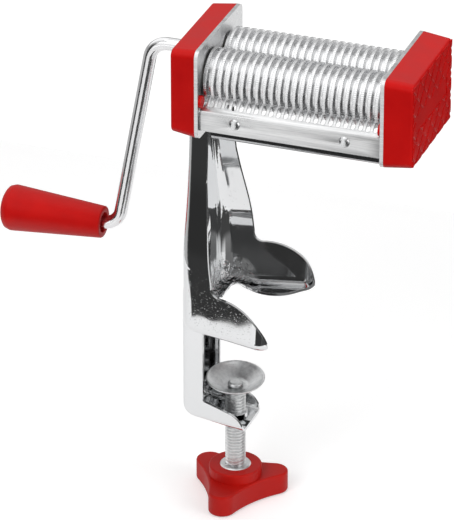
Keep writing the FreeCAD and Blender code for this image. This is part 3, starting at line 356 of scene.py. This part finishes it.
low_down = add(tree, "ShaderNodeMapRange", {"Value": spot.outputs["Z"]},
               {"From Min": SWELL_FULL * MM, "From Max": SWELL_NONE * MM, "To Min": 1.0, "To Max": 0.0},
               interpolation_type="SMOOTHSTEP")
behind = add(tree, "ShaderNodeMapRange", {"Value": spot.outputs["Y"]},
             {"From Min": SWELL_FRONT * MM, "From Max": SWELL_REAR * MM},
             interpolation_type="SMOOTHSTEP")
swell = add(tree, "ShaderNodeMath", {0: low_down.outputs["Result"], 1: behind.outputs["Result"]},
            operation="MULTIPLY")
relief(tree, shader, ((swell.outputs[0], 10.0), (waves, 0.07), (few_specks.outputs["Result"], 0.008),
                      (knot_height.outputs[0], 3.4)), 0.35)
print(bright_sheet.name, len(tree.nodes), "nodes")

# %% [markdown]
# ### Satin sheet
# The side plates, combs and rails are cut from ready-plated cold rolled strip.  Its rollers
# leave fine lines along the strip, about 0.1 mm apart; they are drawn 0.5 mm apart here, or
# they would not show.  Handling leaves faint stains.

# %% Satin sheet
satin_sheet, tree, shader, place = new_finish("satin_plated_sheet", "E9EAEB", Metallic=1.0)
lines = grain(tree, place, 0.5, (40, 1, 1), 2.0)
stains = grain(tree, place, 7, (2.5, 1, 1), 3.0)
marks = add(tree, "ShaderNodeMath", {0: lines, 1: stains}, operation="ADD")
marks = add(tree, "ShaderNodeMath", {0: marks.outputs[0]}, {1: 0.5}, operation="MULTIPLY")
tint(tree, shader, marks.outputs[0], "C4C5C6", "F6F6F6")
vary(tree, shader, "Roughness", stains, 0.24, 0.42)
relief(tree, shader, ((lines, 0.004), (stains, 0.05)), 0.2)
print(satin_sheet.name, len(tree.nodes), "nodes")

# %% [markdown]
# ### Mirror rail
# The rails are folded from the same strip but polished on their rolled lip, so the lip shows
# the dark of the room as one long line under the satin apron.  Their base colour is also set
# darker than the strip's nickel, which is painted shade that deepens this line.

# %% Mirror rail
# B9BABC is darker than the strip's own nickel: painted shade, so the rolled lip reads as a dark band.
mirror_rail_painted_dark, tree, shader, place = new_finish("polished_rail_painted_dark", "B9BABC", Metallic=1.0)
lines = grain(tree, place, 0.6, (40, 1, 1), 2.0)
vary(tree, shader, "Roughness", grain(tree, place, 9), 0.06, 0.16)
relief(tree, shader, ((lines, 0.01),))
print(mirror_rail_painted_dark.name, len(tree.nodes), "nodes")

# %% [markdown]
# ### Bright rod
# Cold drawn wire rod, bent and then plated.  Drawing leaves scratches along the run, which
# are drawn here along the long upright stretch, and bending leaves faint ripples.

# %% Bright rod
bright_rod, tree, shader, place = new_finish("bright_nickel_rod", "EDEDEE", Metallic=1.0)
scratches = grain(tree, place, 0.6, (1, 1, 18), 2.0)
ripples = grain(tree, place, 5, (1, 1, 2), 1.0)
vary(tree, shader, "Roughness", scratches, 0.10, 0.22)
relief(tree, shader, ((scratches, 0.01), (ripples, 0.03)))
print(bright_rod.name, len(tree.nodes), "nodes")

# %% [markdown]
# ### Ring plating
# The rollers are turned and toothed, then nickel plated.  The teeth break any mirror image
# into a sparkle, and the plating is a little dull between the rings.

# %% Ring plating
ring_plate, tree, shader, place = new_finish("nickel_rings", "E6E7E8", Metallic=1.0)
dull = grain(tree, place, 3, (1, 1, 1), 2.0)
fine = grain(tree, place, 0.7, (1, 1, 1), 1.0)
tint(tree, shader, dull, "DCDDDE", "EFEFF0")
vary(tree, shader, "Roughness", dull, 0.22, 0.32)
relief(tree, shader, ((fine, 0.003),))
print(ring_plate.name, len(tree.nodes), "nodes")

# %% [markdown]
# ### Zinc plate
# The screw, its cup and the clips are steel with a thin zinc coat: greyer than nickel, with
# fine grey mottling.  The cup was spun on a lathe, so its shine runs out from the middle in
# rays, which is what an anisotropic shader with a radial tangent gives.

# %% Zinc plate
zinc, tree, shader, place = new_finish("zinc_plate", "DCDDDE", Metallic=1.0)
mottle = grain(tree, place, 1.6, (1, 1, 1), 3.0)
tint(tree, shader, mottle, "DCDDDE", "EFF0F0")
vary(tree, shader, "Roughness", mottle, 0.30, 0.38)
relief(tree, shader, ((grain(tree, place, 1.2), 0.003),))

SPIN_LINES_APART = 0.9
spun_zinc, tree, shader, place = new_finish("spun_zinc_plate", "D6D7D8", Metallic=1.0, Anisotropic=0.75)
mottle = grain(tree, place, 1.8, (1, 1, 1), 3.0)
tint(tree, shader, mottle, "D2D3D4", "EEEFEF")
vary(tree, shader, "Roughness", mottle, 0.28, 0.40)
spot = add(tree, "ShaderNodeSeparateXYZ", {"Vector": place})
squares = [add(tree, "ShaderNodeMath", {0: spot.outputs[k], 1: spot.outputs[k]},
               operation="MULTIPLY").outputs[0] for k in ("X", "Y")]
radius = add(tree, "ShaderNodeMath", {0: squares[0], 1: squares[1]}, operation="ADD")
radius = add(tree, "ShaderNodeMath", {0: radius.outputs[0]}, operation="SQRT")
ring_wave = add(tree, "ShaderNodeMath", {0: radius.outputs[0]},
                {1: 2 * math.pi / (SPIN_LINES_APART * MM)}, operation="MULTIPLY")
ring_wave = add(tree, "ShaderNodeMath", {0: ring_wave.outputs[0]}, operation="SINE")
relief(tree, shader, ((ring_wave.outputs[0], 0.008), (mottle, 0.012)))
around = add(tree, "ShaderNodeTangent", direction_type="RADIAL", axis="Z")
tree.links.new(around.outputs[0], shader.inputs["Tangent"])
print(zinc.name, len(zinc.node_tree.nodes), "nodes,", spun_zinc.name, len(tree.nodes), "nodes")

# %% [markdown]
# ### Small metals
# The gears are sintered: pressed powder, dark grey with fine pores.  The rivets are satin
# aluminium, and the knob's insert is a turned aluminium ring.

# %% Small metals
gear_metal, tree, shader, place = new_finish("sintered_steel", "8E8E8E", Metallic=1.0)
pores = grain(tree, place, 0.8, (1, 1, 1), 3.0)
tint(tree, shader, pores, "6E6E6E", "9C9C9C")
vary(tree, shader, "Roughness", pores, 0.42, 0.6)
relief(tree, shader, ((pores, 0.05),))

rivet_metal, tree, shader, place = new_finish("satin_aluminium", "E4E5E6", Metallic=1.0)
hammered = grain(tree, place, 1.2, (1, 1, 1), 1.0)
vary(tree, shader, "Roughness", hammered, 0.2, 0.34)
relief(tree, shader, ((hammered, 0.05),))

cast_metal, tree, shader, place = new_finish("turned_aluminium", "E6E6E7", Metallic=1.0)
turned = grain(tree, place, 1.0, (1, 1, 1), 2.0)
vary(tree, shader, "Roughness", turned, 0.3, 0.42)
relief(tree, shader, ((turned, 0.02),))
print("small metals:", gear_metal.name, rivet_metal.name, cast_metal.name)

# %% [markdown]
# ## Plastics
# The caps, the grip and the knob are injection moulded ABS in a strong red.  The mould was
# lightly spark eroded, which gives the satin skin: bumps about 0.2 mm across, drawn 0.7 mm
# here so that they show.  The flow of the melt leaves very faint clouds of colour.  The knob
# is handled most, and is a little darker and duller.  The bushes are natural acetal.

# %% Plastics


def moulded(name, deep, light, rough_low, rough_high, gloss):
    """Injection moulded plastic with its spark-eroded skin."""
    mat, tree, shader, place = new_finish(name, light, IOR=1.5, Specular_IOR_Level=gloss)
    flow = grain(tree, place, 16, (1, 1, 1), 3.0)
    skin = grain(tree, place, 0.7, (1, 1, 1), 2.0)
    tint(tree, shader, flow, deep, light)
    vary(tree, shader, "Roughness", flow, rough_low, rough_high)
    relief(tree, shader, ((skin, 0.02),))
    return mat


red_abs = moulded("moulded_red_abs", "C41010", "D21411", 0.38, 0.48, 0.28)
knob_abs = moulded("worn_red_abs", "A81410", "B41710", 0.40, 0.52, 0.22)
acetal = moulded("natural_acetal", "E0DCCF", "EBE8DD", 0.34, 0.42, 0.5)
print("plastics:", red_abs.name, knob_abs.name, acetal.name)

# %% [markdown]
# ## Give the solids their finishes
# The solids that keep their own shape get their finish here.  Those of satin metal also go
# into the collection that the satin lamps light.

# %% Finishes of the solids
finishes = {
    "clamp_stand": bright_sheet, "stand_rivets": bright_sheet,
    "left_side_plate": satin_sheet, "right_side_plate": satin_sheet,
    "front_rail": mirror_rail_painted_dark, "rear_rail": mirror_rail_painted_dark,
    "front_comb": satin_sheet, "rear_comb": satin_sheet,
    "front_comb_rivets": rivet_metal, "rear_comb_rivets": rivet_metal,
    "left_end_cap": red_abs, "right_end_cap": red_abs, "crank_grip": red_abs, "clamp_knob": knob_abs,
    "left_front_bush": acetal, "left_rear_bush": acetal,
    "right_front_bush": acetal, "right_rear_bush": acetal,
    "front_roller": ring_plate, "rear_roller": ring_plate,
    "front_gear": gear_metal, "rear_gear": gear_metal,
    "front_gear_clip": zinc, "rear_gear_clip": zinc, "grip_clip": zinc, "crank_pin": zinc,
    "crank_rod": bright_rod, "pressure_cup": spun_zinc, "clamp_screw": zinc, "knob_insert": cast_metal,
}
satin_finishes = (satin_sheet, bright_rod, ring_plate, zinc, spun_zinc, rivet_metal, cast_metal)
for name, finish in finishes.items():
    nodes[name].data.materials.clear()
    nodes[name].data.materials.append(finish)
    if finish in satin_finishes:
        satin_metals.objects.link(nodes[name])

# %% [markdown]
# ## Modelling helpers
# Round pieces are made as a turner makes them: a circle is extruded and resized step by step
# along its axis, so the profile is the only thing to write down.  A circle of no width at all
# could not be widened again, so a point on the axis has a radius of 0.001 mm until the
# doubled vertices are merged.

# %% Helpers
ON_AXIS = 0.001
MERGE_WITHIN = 0.002


def pick(thing):
    """Selects one object alone and makes it the active one."""
    bpy.ops.object.select_all(action="DESELECT")
    thing.select_set(True)
    bpy.context.view_layer.objects.active = thing


def apply_modifier(thing, kind, **settings):
    """Adds a modifier with its settings and applies it at once."""
    step = thing.modifiers.new(kind.lower(), kind)
    for name, value in settings.items():
        setattr(step, name, value)
    pick(thing)
    bpy.ops.object.modifier_apply(modifier=step.name)


def join(things):
    """Joins pieces into the first one."""
    bpy.ops.object.select_all(action="DESELECT")
    for thing in things:
        thing.select_set(True)
    bpy.context.view_layer.objects.active = things[0]
    bpy.ops.object.join()
    return things[0]


def copies(thing, offsets):
    """Copies of a piece, each with its own mesh, moved by offsets in millimetres."""
    made = []
    for offset in offsets:
        twin = thing.copy()
        twin.data = thing.data.copy()
        twin.location = thing.location + Vector(offset) * MM
        bpy.context.scene.collection.objects.link(twin)
        made.append(twin)
    bpy.context.view_layer.update()
    return made


def turn(name, axis, at, profile, sides):
    """Turns (along, radius) steps in millimetres about axis "X" or "Z" through the point at."""
    run = Vector((1, 0, 0)) if axis == "X" else Vector((0, 0, 1))
    tilt = (0, math.pi / 2, 0) if axis == "X" else (0, 0, 0)
    middle = Vector(at)
    along, radius = profile[0]
    bpy.ops.object.select_all(action="DESELECT")
    bpy.ops.mesh.primitive_circle_add(vertices=sides, radius=radius * MM,
                                      location=(middle + run * along) * MM, rotation=tilt)
    thing = bpy.context.object
    thing.name = name
    bpy.ops.object.mode_set(mode="EDIT")
    bpy.ops.mesh.select_all(action="SELECT")
    for next_along, next_radius in profile[1:]:
        bpy.ops.mesh.extrude_region_move(
            TRANSFORM_OT_translate={"value": run * (next_along - along) * MM})
        bpy.ops.transform.resize(value=(next_radius / radius,) * 3,
                                 center_override=(middle + run * next_along) * MM)
        along, radius = next_along, next_radius
    bpy.ops.mesh.select_all(action="SELECT")
    bpy.ops.mesh.remove_doubles(threshold=MERGE_WITHIN * MM)
    bpy.ops.mesh.normals_make_consistent(inside=False)
    bpy.ops.object.mode_set(mode="OBJECT")
    return thing


def finish_piece(thing, body, finish, replaced=(), smooth_degrees=35):
    """Puts a piece's place into its mesh, smooths it, and hands it to its body."""
    pick(thing)
    bpy.ops.object.transform_apply(location=True, rotation=True, scale=True)
    bpy.ops.object.shade_smooth_by_angle(angle=math.radians(smooth_degrees))
    thing.data.materials.clear()
    thing.data.materials.append(finish)
    if finish in satin_finishes:
        satin_metals.objects.link(thing)
    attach(thing, body)
    if replaced:
        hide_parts(*replaced)
    print(thing.name, len(thing.data.polygons), "faces")


# %% [markdown]
# ## Cutting rollers
# Each roller is one turned bar with rings that run in the gaps of the other's.  The rings'
# rims have fine teeth, about 1 mm apart and 0.14 mm deep, that pull the dough in.  The whole
# bar is turned at once with two sides for each tooth, and then every second line of the rims
# is drawn in.  A ring's flanks lean by a hair, or two steps of the profile would coincide.

# %% Rollers
AXLE_LEVEL = 143.0
AXLE_SIDE = 13.7
RING_RADIUS, ROOT_RADIUS = 14.7, 12.5
RING_PITCH, RING_WIDE, RING_EDGE = 4.0, 1.85, 0.22
FLANK_FOOT, FLANK_TOP, RIM_BAND = 0.001, 0.01, 0.05
BARREL = (-7.7, 88.3)
FIRST_FRONT_RING = BARREL[0] + RING_WIDE / 2
FIRST_REAR_RING = FIRST_FRONT_RING + RING_PITCH / 2
FRONT_RINGS, REAR_RINGS = 24, 23
TEETH = 92
TOOTH_DEEP = 0.14
JOURNAL_RADIUS, SEAT_RADIUS, GROOVE_RADIUS = 6.0, 4.5, 3.2
SEAT_START, GROOVE_START, GROOVE_END, BAR_END = 92.3, 100.3, 101.3, 102.3
FRONT_STUB_END, SLEEVE_END, SLEEVE_FLOOR, SLEEVE_BORE = -12.5, -20.9, 1.9, 3.5


def ringed_roller(name, side, first_ring, count, left_end):
    """A roller with its journals, its rings and the teeth on their rims."""
    profile = list(left_end) + [(BARREL[0], ROOT_RADIUS)]
    for k in range(count):
        start = first_ring + RING_PITCH * k - RING_WIDE / 2
        end = start + RING_WIDE
        profile += [(start + FLANK_FOOT, ROOT_RADIUS), (start + FLANK_TOP, RING_RADIUS - RING_EDGE),
                    (start + RING_EDGE, RING_RADIUS), (end - RING_EDGE, RING_RADIUS),
                    (end - FLANK_TOP, RING_RADIUS - RING_EDGE), (end, ROOT_RADIUS)]
    profile += [(BARREL[1], ROOT_RADIUS), (BARREL[1], JOURNAL_RADIUS), (SEAT_START, JOURNAL_RADIUS),
                (SEAT_START, SEAT_RADIUS), (GROOVE_START, SEAT_RADIUS), (GROOVE_START, GROOVE_RADIUS),
                (GROOVE_END, GROOVE_RADIUS), (GROOVE_END, SEAT_RADIUS), (BAR_END, SEAT_RADIUS),
                (BAR_END, ON_AXIS)]
    at = (0, side, AXLE_LEVEL)
    thing = turn(name, "X", at, profile, TEETH * 2)
    pick(thing)
    bpy.ops.object.mode_set(mode="EDIT")
    bpy.ops.mesh.select_all(action="DESELECT")
    bpy.ops.object.mode_set(mode="OBJECT")
    half_step = math.pi / TEETH
    for vertex in thing.data.vertices:
        spot = thing.matrix_world @ vertex.co
        y, z = spot.y / MM - side, spot.z / MM - AXLE_LEVEL
        if math.hypot(y, z) > RING_RADIUS - RIM_BAND:
            vertex.select = round(math.atan2(z, y) / half_step) % 2 == 0
    bpy.ops.object.mode_set(mode="EDIT")
    drawn_in = (RING_RADIUS - TOOTH_DEEP) / RING_RADIUS
    bpy.ops.transform.resize(value=(1, drawn_in, drawn_in), center_override=Vector(at) * MM)
    bpy.ops.object.mode_set(mode="OBJECT")
    return thing


front = ringed_roller("front_ringed_roller", -AXLE_SIDE, FIRST_FRONT_RING, FRONT_RINGS,
                      [(FRONT_STUB_END, ON_AXIS), (FRONT_STUB_END, JOURNAL_RADIUS),
                       (BARREL[0], JOURNAL_RADIUS)])
finish_piece(front, "driven_roller", ring_plate, ["front_roller"], 30)
rear = ringed_roller("rear_ringed_roller", AXLE_SIDE, FIRST_REAR_RING, REAR_RINGS,
                     [(SLEEVE_FLOOR, ON_AXIS), (SLEEVE_FLOOR, SLEEVE_BORE), (SLEEVE_END, SLEEVE_BORE),
                      (SLEEVE_END, JOURNAL_RADIUS), (BARREL[0], JOURNAL_RADIUS)])
finish_piece(rear, "drive_roller", ring_plate, ["rear_roller"], 30)

# %% [markdown]
# ## Combs
# A comb is one strip of sheet bent along its length: an upright apron that is riveted to the
# rail, and a slope whose fingers stand in the grooves between the rings and lift the noodles
# out.  A point is drawn along the section, the section along the rollers, and the sheet gets
# its thickness.  All the slots are then cut at once with one tool of many round-ended bars.

# %% Combs
SHEET_THICK = 1.0
APRON_SIDE, APRON_LOW, RIDGE_LEVEL = 32.5, 119.6, 130.4
BEND_RADIUS = 2.0
SLOPE = math.radians(38.7)
TIP_SIDE = 24.9
COMB_ENDS = (-8.3, 88.9)
SLOT_WIDE = 2.3
SLOT_BOTTOM_SIDE = 30.0
RIVET_SPOTS = (10.8, 69.8)
RIVET_LEVEL, RIVET_SHANK = 125.8, 3.0
BEND_STEPS = 6
CUT_EDGE = 0.12
BAR_TALL, BAR_LONG, HOLE_LONG = 12, 8, 8
NEARLY_ZERO = 0.0001


def comb_section():
    """Points (distance from the middle plane, level) of the sheet's outer skin."""
    lean = math.pi / 2 - SLOPE
    run = BEND_RADIUS * math.tan(lean / 2)
    middle_side = APRON_SIDE - BEND_RADIUS
    points = [(APRON_SIDE, APRON_LOW)]
    for k in range(BEND_STEPS + 1):
        angle = lean * k / BEND_STEPS
        points.append((middle_side + BEND_RADIUS * math.cos(angle),
                       RIDGE_LEVEL - run + BEND_RADIUS * math.sin(angle)))
    rise = (points[-1][0] - TIP_SIDE) * math.tan(SLOPE)
    return points + [(TIP_SIDE, points[-1][1] + rise)]


def slot_cutters(sign, first_ring, count):
    """One tool for all the slots and both rivet holes of a comb."""
    bpy.ops.object.select_all(action="DESELECT")
    bpy.ops.mesh.primitive_circle_add(vertices=24, radius=SLOT_WIDE / 2 * MM, fill_type="NGON",
                                      location=(0, 0, 0))
    bar = bpy.context.object
    bpy.ops.object.mode_set(mode="EDIT")
    bpy.ops.mesh.select_all(action="SELECT")
    bpy.ops.mesh.extrude_region_move(TRANSFORM_OT_translate={"value": (0, 0, BAR_TALL * MM)})
    bpy.ops.mesh.select_all(action="DESELECT")
    bpy.ops.object.mode_set(mode="OBJECT")
    for vertex in bar.data.vertices:
        vertex.select = vertex.co.y * sign < NEARLY_ZERO * MM
    bpy.ops.object.mode_set(mode="EDIT")
    bpy.ops.transform.translate(value=(0, -BAR_LONG * sign * MM, 0))
    bpy.ops.mesh.select_all(action="SELECT")
    bpy.ops.mesh.normals_make_consistent(inside=False)
    bpy.ops.object.mode_set(mode="OBJECT")
    round_side = (SLOT_BOTTOM_SIDE - SLOT_WIDE / 2) * sign
    tools = copies(bar, [(first_ring + RING_PITCH * k, round_side, RIDGE_LEVEL) for k in range(count)])
    bpy.data.objects.remove(bar)
    hole_start = APRON_SIDE * sign - HOLE_LONG / 2
    for x in RIVET_SPOTS:
        bpy.ops.object.select_all(action="DESELECT")
        bpy.ops.mesh.primitive_circle_add(vertices=32, radius=RIVET_SHANK / 2 * MM, fill_type="NGON",
                                          location=Vector((x, hole_start, RIVET_LEVEL)) * MM,
                                          rotation=(math.pi / 2, 0, 0))
        hole = bpy.context.object
        bpy.ops.object.mode_set(mode="EDIT")
        bpy.ops.mesh.select_all(action="SELECT")
        bpy.ops.mesh.extrude_region_move(TRANSFORM_OT_translate={"value": (0, HOLE_LONG * MM, 0)})
        bpy.ops.mesh.select_all(action="SELECT")
        bpy.ops.mesh.normals_make_consistent(inside=False)
        bpy.ops.object.mode_set(mode="OBJECT")
        tools.append(hole)
    return join(tools)


def bent_comb(name, sign, first_ring, count):
    """A comb in front (sign -1) or behind (sign 1)."""
    section = comb_section()
    bpy.ops.object.select_all(action="DESELECT")
    bpy.ops.mesh.primitive_plane_add(size=MM, location=(0, 0, 0))
    thing = bpy.context.object
    thing.name = name
    bpy.ops.object.mode_set(mode="EDIT")
    bpy.ops.mesh.select_all(action="SELECT")
    bpy.ops.mesh.merge(type="CENTER")
    here = (section[0][0] * sign, section[0][1])
    bpy.ops.transform.translate(value=Vector((COMB_ENDS[0], *here)) * MM)
    for side, level in section[1:]:
        step = (0, (side * sign - here[0]) * MM, (level - here[1]) * MM)
        bpy.ops.mesh.extrude_region_move(TRANSFORM_OT_translate={"value": step})
        here = (side * sign, level)
    bpy.ops.mesh.select_all(action="SELECT")
    long = (COMB_ENDS[1] - COMB_ENDS[0]) * MM
    bpy.ops.mesh.extrude_region_move(TRANSFORM_OT_translate={"value": (long, 0, 0)})
    bpy.ops.mesh.select_all(action="SELECT")
    bpy.ops.mesh.normals_make_consistent(inside=False)
    bpy.ops.object.mode_set(mode="OBJECT")
    if sum(face.normal.z for face in thing.data.polygons) < 0:
        bpy.ops.object.mode_set(mode="EDIT")
        bpy.ops.mesh.flip_normals()
        bpy.ops.object.mode_set(mode="OBJECT")
    apply_modifier(thing, "SOLIDIFY", thickness=SHEET_THICK * MM, offset=-1.0)
    cutters = slot_cutters(sign, first_ring, count)
    apply_modifier(thing, "BOOLEAN", operation="DIFFERENCE", object=cutters, solver="EXACT")
    bpy.data.objects.remove(cutters)
    apply_modifier(thing, "BEVEL", width=CUT_EDGE * MM, segments=2, limit_method="ANGLE",
                   angle_limit=math.radians(50))
    return thing


for name, sign, first_ring, count in (("front", -1, FIRST_FRONT_RING, FRONT_RINGS),
                                      ("rear", 1, FIRST_REAR_RING, REAR_RINGS)):
    comb = bent_comb(name + "_bent_comb", sign, first_ring, count)
    finish_piece(comb, "frame", satin_sheet, [name + "_comb"], 35)

# %% [markdown]
# ## Pads on the end cap
# The outer cap is covered with raised diamond pads that give the hand a hold when the tool
# is steadied, around a plain band.  One pad is a four-sided circle with its corners taken
# off, raised and crowned.  It is copied in staggered rows, and two tools then trim the whole
# field to the cap's outline and clear the band.

# %% Cap pads
CAP_FACE = 105.9
PAD_RADIUS = 5.44
PAD_CORNER, PAD_RISE, PAD_SUNK = 1.6, 0.3, 0.1
PAD_CROWN = ((0.3, 0.13), (0.5, 0.07), (0.6, 0.04))
PAD_STEP_SIDE, PAD_STEP_LEVEL = 12.2, 12.4
PAD_ROWS, PAD_COLUMNS, TOP_ROW_LEVEL = 10, range(-1, 6), 160.6
EVEN_ROW_SIDE, ODD_ROW_SIDE = -27.8, -21.7
PAD_FIELD = ((-31.6, 31.6), (116.9, 161.2))
BAND = ((-26.5, 24.3), (133.6, 143.2))
BLOCK_THICK = 4

bpy.ops.object.select_all(action="DESELECT")
bpy.ops.mesh.primitive_circle_add(vertices=4, radius=PAD_RADIUS * MM, fill_type="NGON",
                                  location=(0, 0, 0), rotation=(0, math.pi / 2, 0))
pad = bpy.context.object
bpy.ops.object.transform_apply(location=True, rotation=True, scale=True)
bpy.ops.object.mode_set(mode="EDIT")
bpy.ops.mesh.select_all(action="SELECT")
bpy.ops.mesh.bevel(offset=PAD_CORNER * MM, segments=3, affect="VERTICES")
bpy.ops.mesh.extrude_region_move(TRANSFORM_OT_translate={"value": (PAD_RISE * MM, 0, 0)})
for draw_in, out in PAD_CROWN:
    bpy.ops.mesh.inset(thickness=draw_in * MM, depth=0)
    bpy.ops.transform.translate(value=(out * MM, 0, 0))
bpy.ops.mesh.select_all(action="SELECT")
bpy.ops.mesh.normals_make_consistent(inside=False)
bpy.ops.object.mode_set(mode="OBJECT")
spots = []
for row in range(PAD_ROWS):
    level = TOP_ROW_LEVEL - PAD_STEP_LEVEL / 2 * row
    row_side = EVEN_ROW_SIDE if row % 2 == 0 else ODD_ROW_SIDE
    spots += [(CAP_FACE - PAD_SUNK, row_side + PAD_STEP_SIDE * k, level) for k in PAD_COLUMNS]
pads = join(copies(pad, spots))
pads.name = "cap_pads"
bpy.data.objects.remove(pad)


def trimming_block(sides, levels):
    """A block across the cap's face, from y to y and from z to z."""
    bpy.ops.object.select_all(action="DESELECT")
    bpy.ops.mesh.primitive_cube_add(size=1.0)
    block = bpy.context.object
    block.scale = (BLOCK_THICK * MM, (sides[1] - sides[0]) * MM, (levels[1] - levels[0]) * MM)
    block.location = Vector((CAP_FACE, sum(sides) / 2, sum(levels) / 2)) * MM
    bpy.ops.object.transform_apply(location=True, rotation=True, scale=True)
    return block


for operation, (sides, levels) in (("INTERSECT", PAD_FIELD), ("DIFFERENCE", BAND)):
    tool = trimming_block(sides, levels)
    apply_modifier(pads, "BOOLEAN", operation=operation, object=tool, solver="EXACT")
    bpy.data.objects.remove(tool)
finish_piece(pads, "frame", red_abs, smooth_degrees=30)

# %% [markdown]
# ## Clamp screw
# The thread is one tooth of its profile, wound up by the Screw modifier, sewn where the turns
# meet and then cut square at both ends.  On top sits a short neck, spread into a button that
# holds the cup.

# %% Clamp screw
THREAD_PITCH = 1.814
THREAD_CREST, THREAD_ROOT = 5.52, 4.55
THREAD_LOW, THREAD_HIGH = -105.5, -45.6
ROOT_SHARE, FLANK_SHARE, CREST_SHARE = 0.12, 0.34, 0.2
THREAD_SIDES, SPARE_TURNS, MODIFIER_MERGE = 36, 3, 0.005


def thread_bar(name, low, high):
    """A threaded bar between two levels."""
    bpy.ops.object.select_all(action="DESELECT")
    bpy.ops.mesh.primitive_plane_add(size=MM, location=(0, 0, 0))
    thing = bpy.context.object
    thing.name = name
    bpy.ops.object.mode_set(mode="EDIT")
    bpy.ops.mesh.select_all(action="SELECT")
    bpy.ops.mesh.merge(type="CENTER")
    bpy.ops.transform.translate(value=(THREAD_ROOT * MM, 0, (low - THREAD_PITCH) * MM))
    rise = THREAD_CREST - THREAD_ROOT
    for out, share in ((0, ROOT_SHARE), (rise, FLANK_SHARE), (0, CREST_SHARE), (-rise, FLANK_SHARE)):
        bpy.ops.mesh.extrude_region_move(TRANSFORM_OT_translate={
            "value": (out * MM, 0, share * THREAD_PITCH * MM)})
    bpy.ops.object.mode_set(mode="OBJECT")
    apply_modifier(thing, "SCREW", screw_offset=THREAD_PITCH * MM,
                   steps=THREAD_SIDES, render_steps=THREAD_SIDES,
                   iterations=int((high - low) / THREAD_PITCH) + SPARE_TURNS,
                   use_merge_vertices=True, merge_threshold=MODIFIER_MERGE * MM)
    bpy.ops.object.mode_set(mode="EDIT")
    bpy.ops.mesh.select_all(action="SELECT")
    bpy.ops.mesh.remove_doubles(threshold=MERGE_WITHIN * MM)
    for level, facing_up in ((low, False), (high, True)):
        bpy.ops.mesh.select_all(action="SELECT")
        bpy.ops.mesh.bisect(plane_co=(0, 0, level * MM), plane_no=(0, 0, 1), use_fill=True,
                            clear_outer=facing_up, clear_inner=not facing_up)
    bpy.ops.mesh.select_all(action="SELECT")
    bpy.ops.mesh.normals_make_consistent(inside=False)
    bpy.ops.object.mode_set(mode="OBJECT")
    return thing


screw = thread_bar("threaded_clamp_screw", THREAD_LOW, THREAD_HIGH)
button = turn("screw_button", "Z", (0, 0, 0), [
    (-46.2, ON_AXIS), (-46.2, 3.2), (-43.75, 3.2), (-43.75, 3.95), (-43.6, 4.18), (-43.1, 4.2),
    (-42.6, 4.05), (-42.1, 3.55), (-41.85, 2.9), (-41.8, 2.1), (-41.95, 1.3), (-42.0, 0.6),
    (-42.0, ON_AXIS)], 64)
finish_piece(join([screw, button]), "screw", zinc, ["clamp_screw"], 40)

# %% [markdown]
# ## Pressure cup
# A pressed steel dish with a thin turned lip, which spreads the screw's push on the table.
# It hangs loosely under the button, so it leans a little, here towards the front.

# %% Pressure cup
CUP_MIDDLE = Vector((0, 0, -44.6)) * MM
CUP_LEAN = math.radians(5.5)
CUP_LEAN_AXIS = Vector((0.9408, 0.3391, 0.0))
cup = turn("spun_pressure_cup", "Z", (0, 0, 0), [
    (-44.95, 3.45), (-44.95, 6.0), (-44.85, 6.6), (-44.45, 7.4), (-42.4, 11.4), (-40.6, 14.5),
    (-39.7, 15.5), (-39.1, 15.8), (-38.8, 15.7), (-38.7, 15.4), (-38.8, 15.0), (-39.3, 14.5),
    (-40.2, 13.4), (-42.0, 10.3), (-43.75, 7.2), (-44.15, 6.3), (-44.25, 5.6), (-44.25, 3.45),
    (-44.95, 3.45)], 96)
cup.matrix_world = (Matrix.Translation(CUP_MIDDLE) @ Matrix.Rotation(CUP_LEAN, 4, CUP_LEAN_AXIS)
                    @ Matrix.Translation(-CUP_MIDDLE) @ cup.matrix_world)
finish_piece(cup, "cup", spun_zinc, ["pressure_cup"], 50)

# %% [markdown]
# ## Crank grip
# A tapered moulding with a rounded end, hollowed at the crank's end where the rod goes in.
# Deep in its bore a wider pocket leaves room for the clip on the rod.

# %% Crank grip
GRIP_START, GRIP_LEVEL = -79.4, 32.8
BORE_RADIUS, BORE_DEEP = 3.55, 45.5
POCKET_RADIUS, POCKET_NEAR, POCKET_FAR = 4.8, 40.8, 42.2
RECESS_RADIUS, RECESS_DEEP = 5.5, 3.0
DOME_START, DOME_LONG, DOME_RADIUS = 51.4, 6.0, 12.9
grip_steps = [(BORE_DEEP, ON_AXIS), (BORE_DEEP, BORE_RADIUS), (POCKET_FAR, BORE_RADIUS),
              (POCKET_FAR, POCKET_RADIUS), (POCKET_NEAR, POCKET_RADIUS), (POCKET_NEAR, BORE_RADIUS),
              (RECESS_DEEP, BORE_RADIUS), (RECESS_DEEP, RECESS_RADIUS), (0.25, RECESS_RADIUS),
              (0.0, 5.75), (0.0, 7.9), (0.2, 8.35), (0.7, 8.65), (50.4, 12.42), (DOME_START, 12.45),
              (52.2, 12.25)]
for degrees in (30, 42, 54, 66, 78, 90):
    angle = math.radians(degrees)
    grip_steps.append((DOME_START + DOME_LONG * math.sin(angle) ** 1.1,
                       max(DOME_RADIUS * math.cos(angle) ** 0.75, ON_AXIS)))
grip = turn("moulded_grip", "X", (GRIP_START, AXLE_SIDE, GRIP_LEVEL),
            [(-along, radius) for along, radius in grip_steps], 72)
finish_piece(grip, "grip", red_abs, ["crank_grip"], 40)
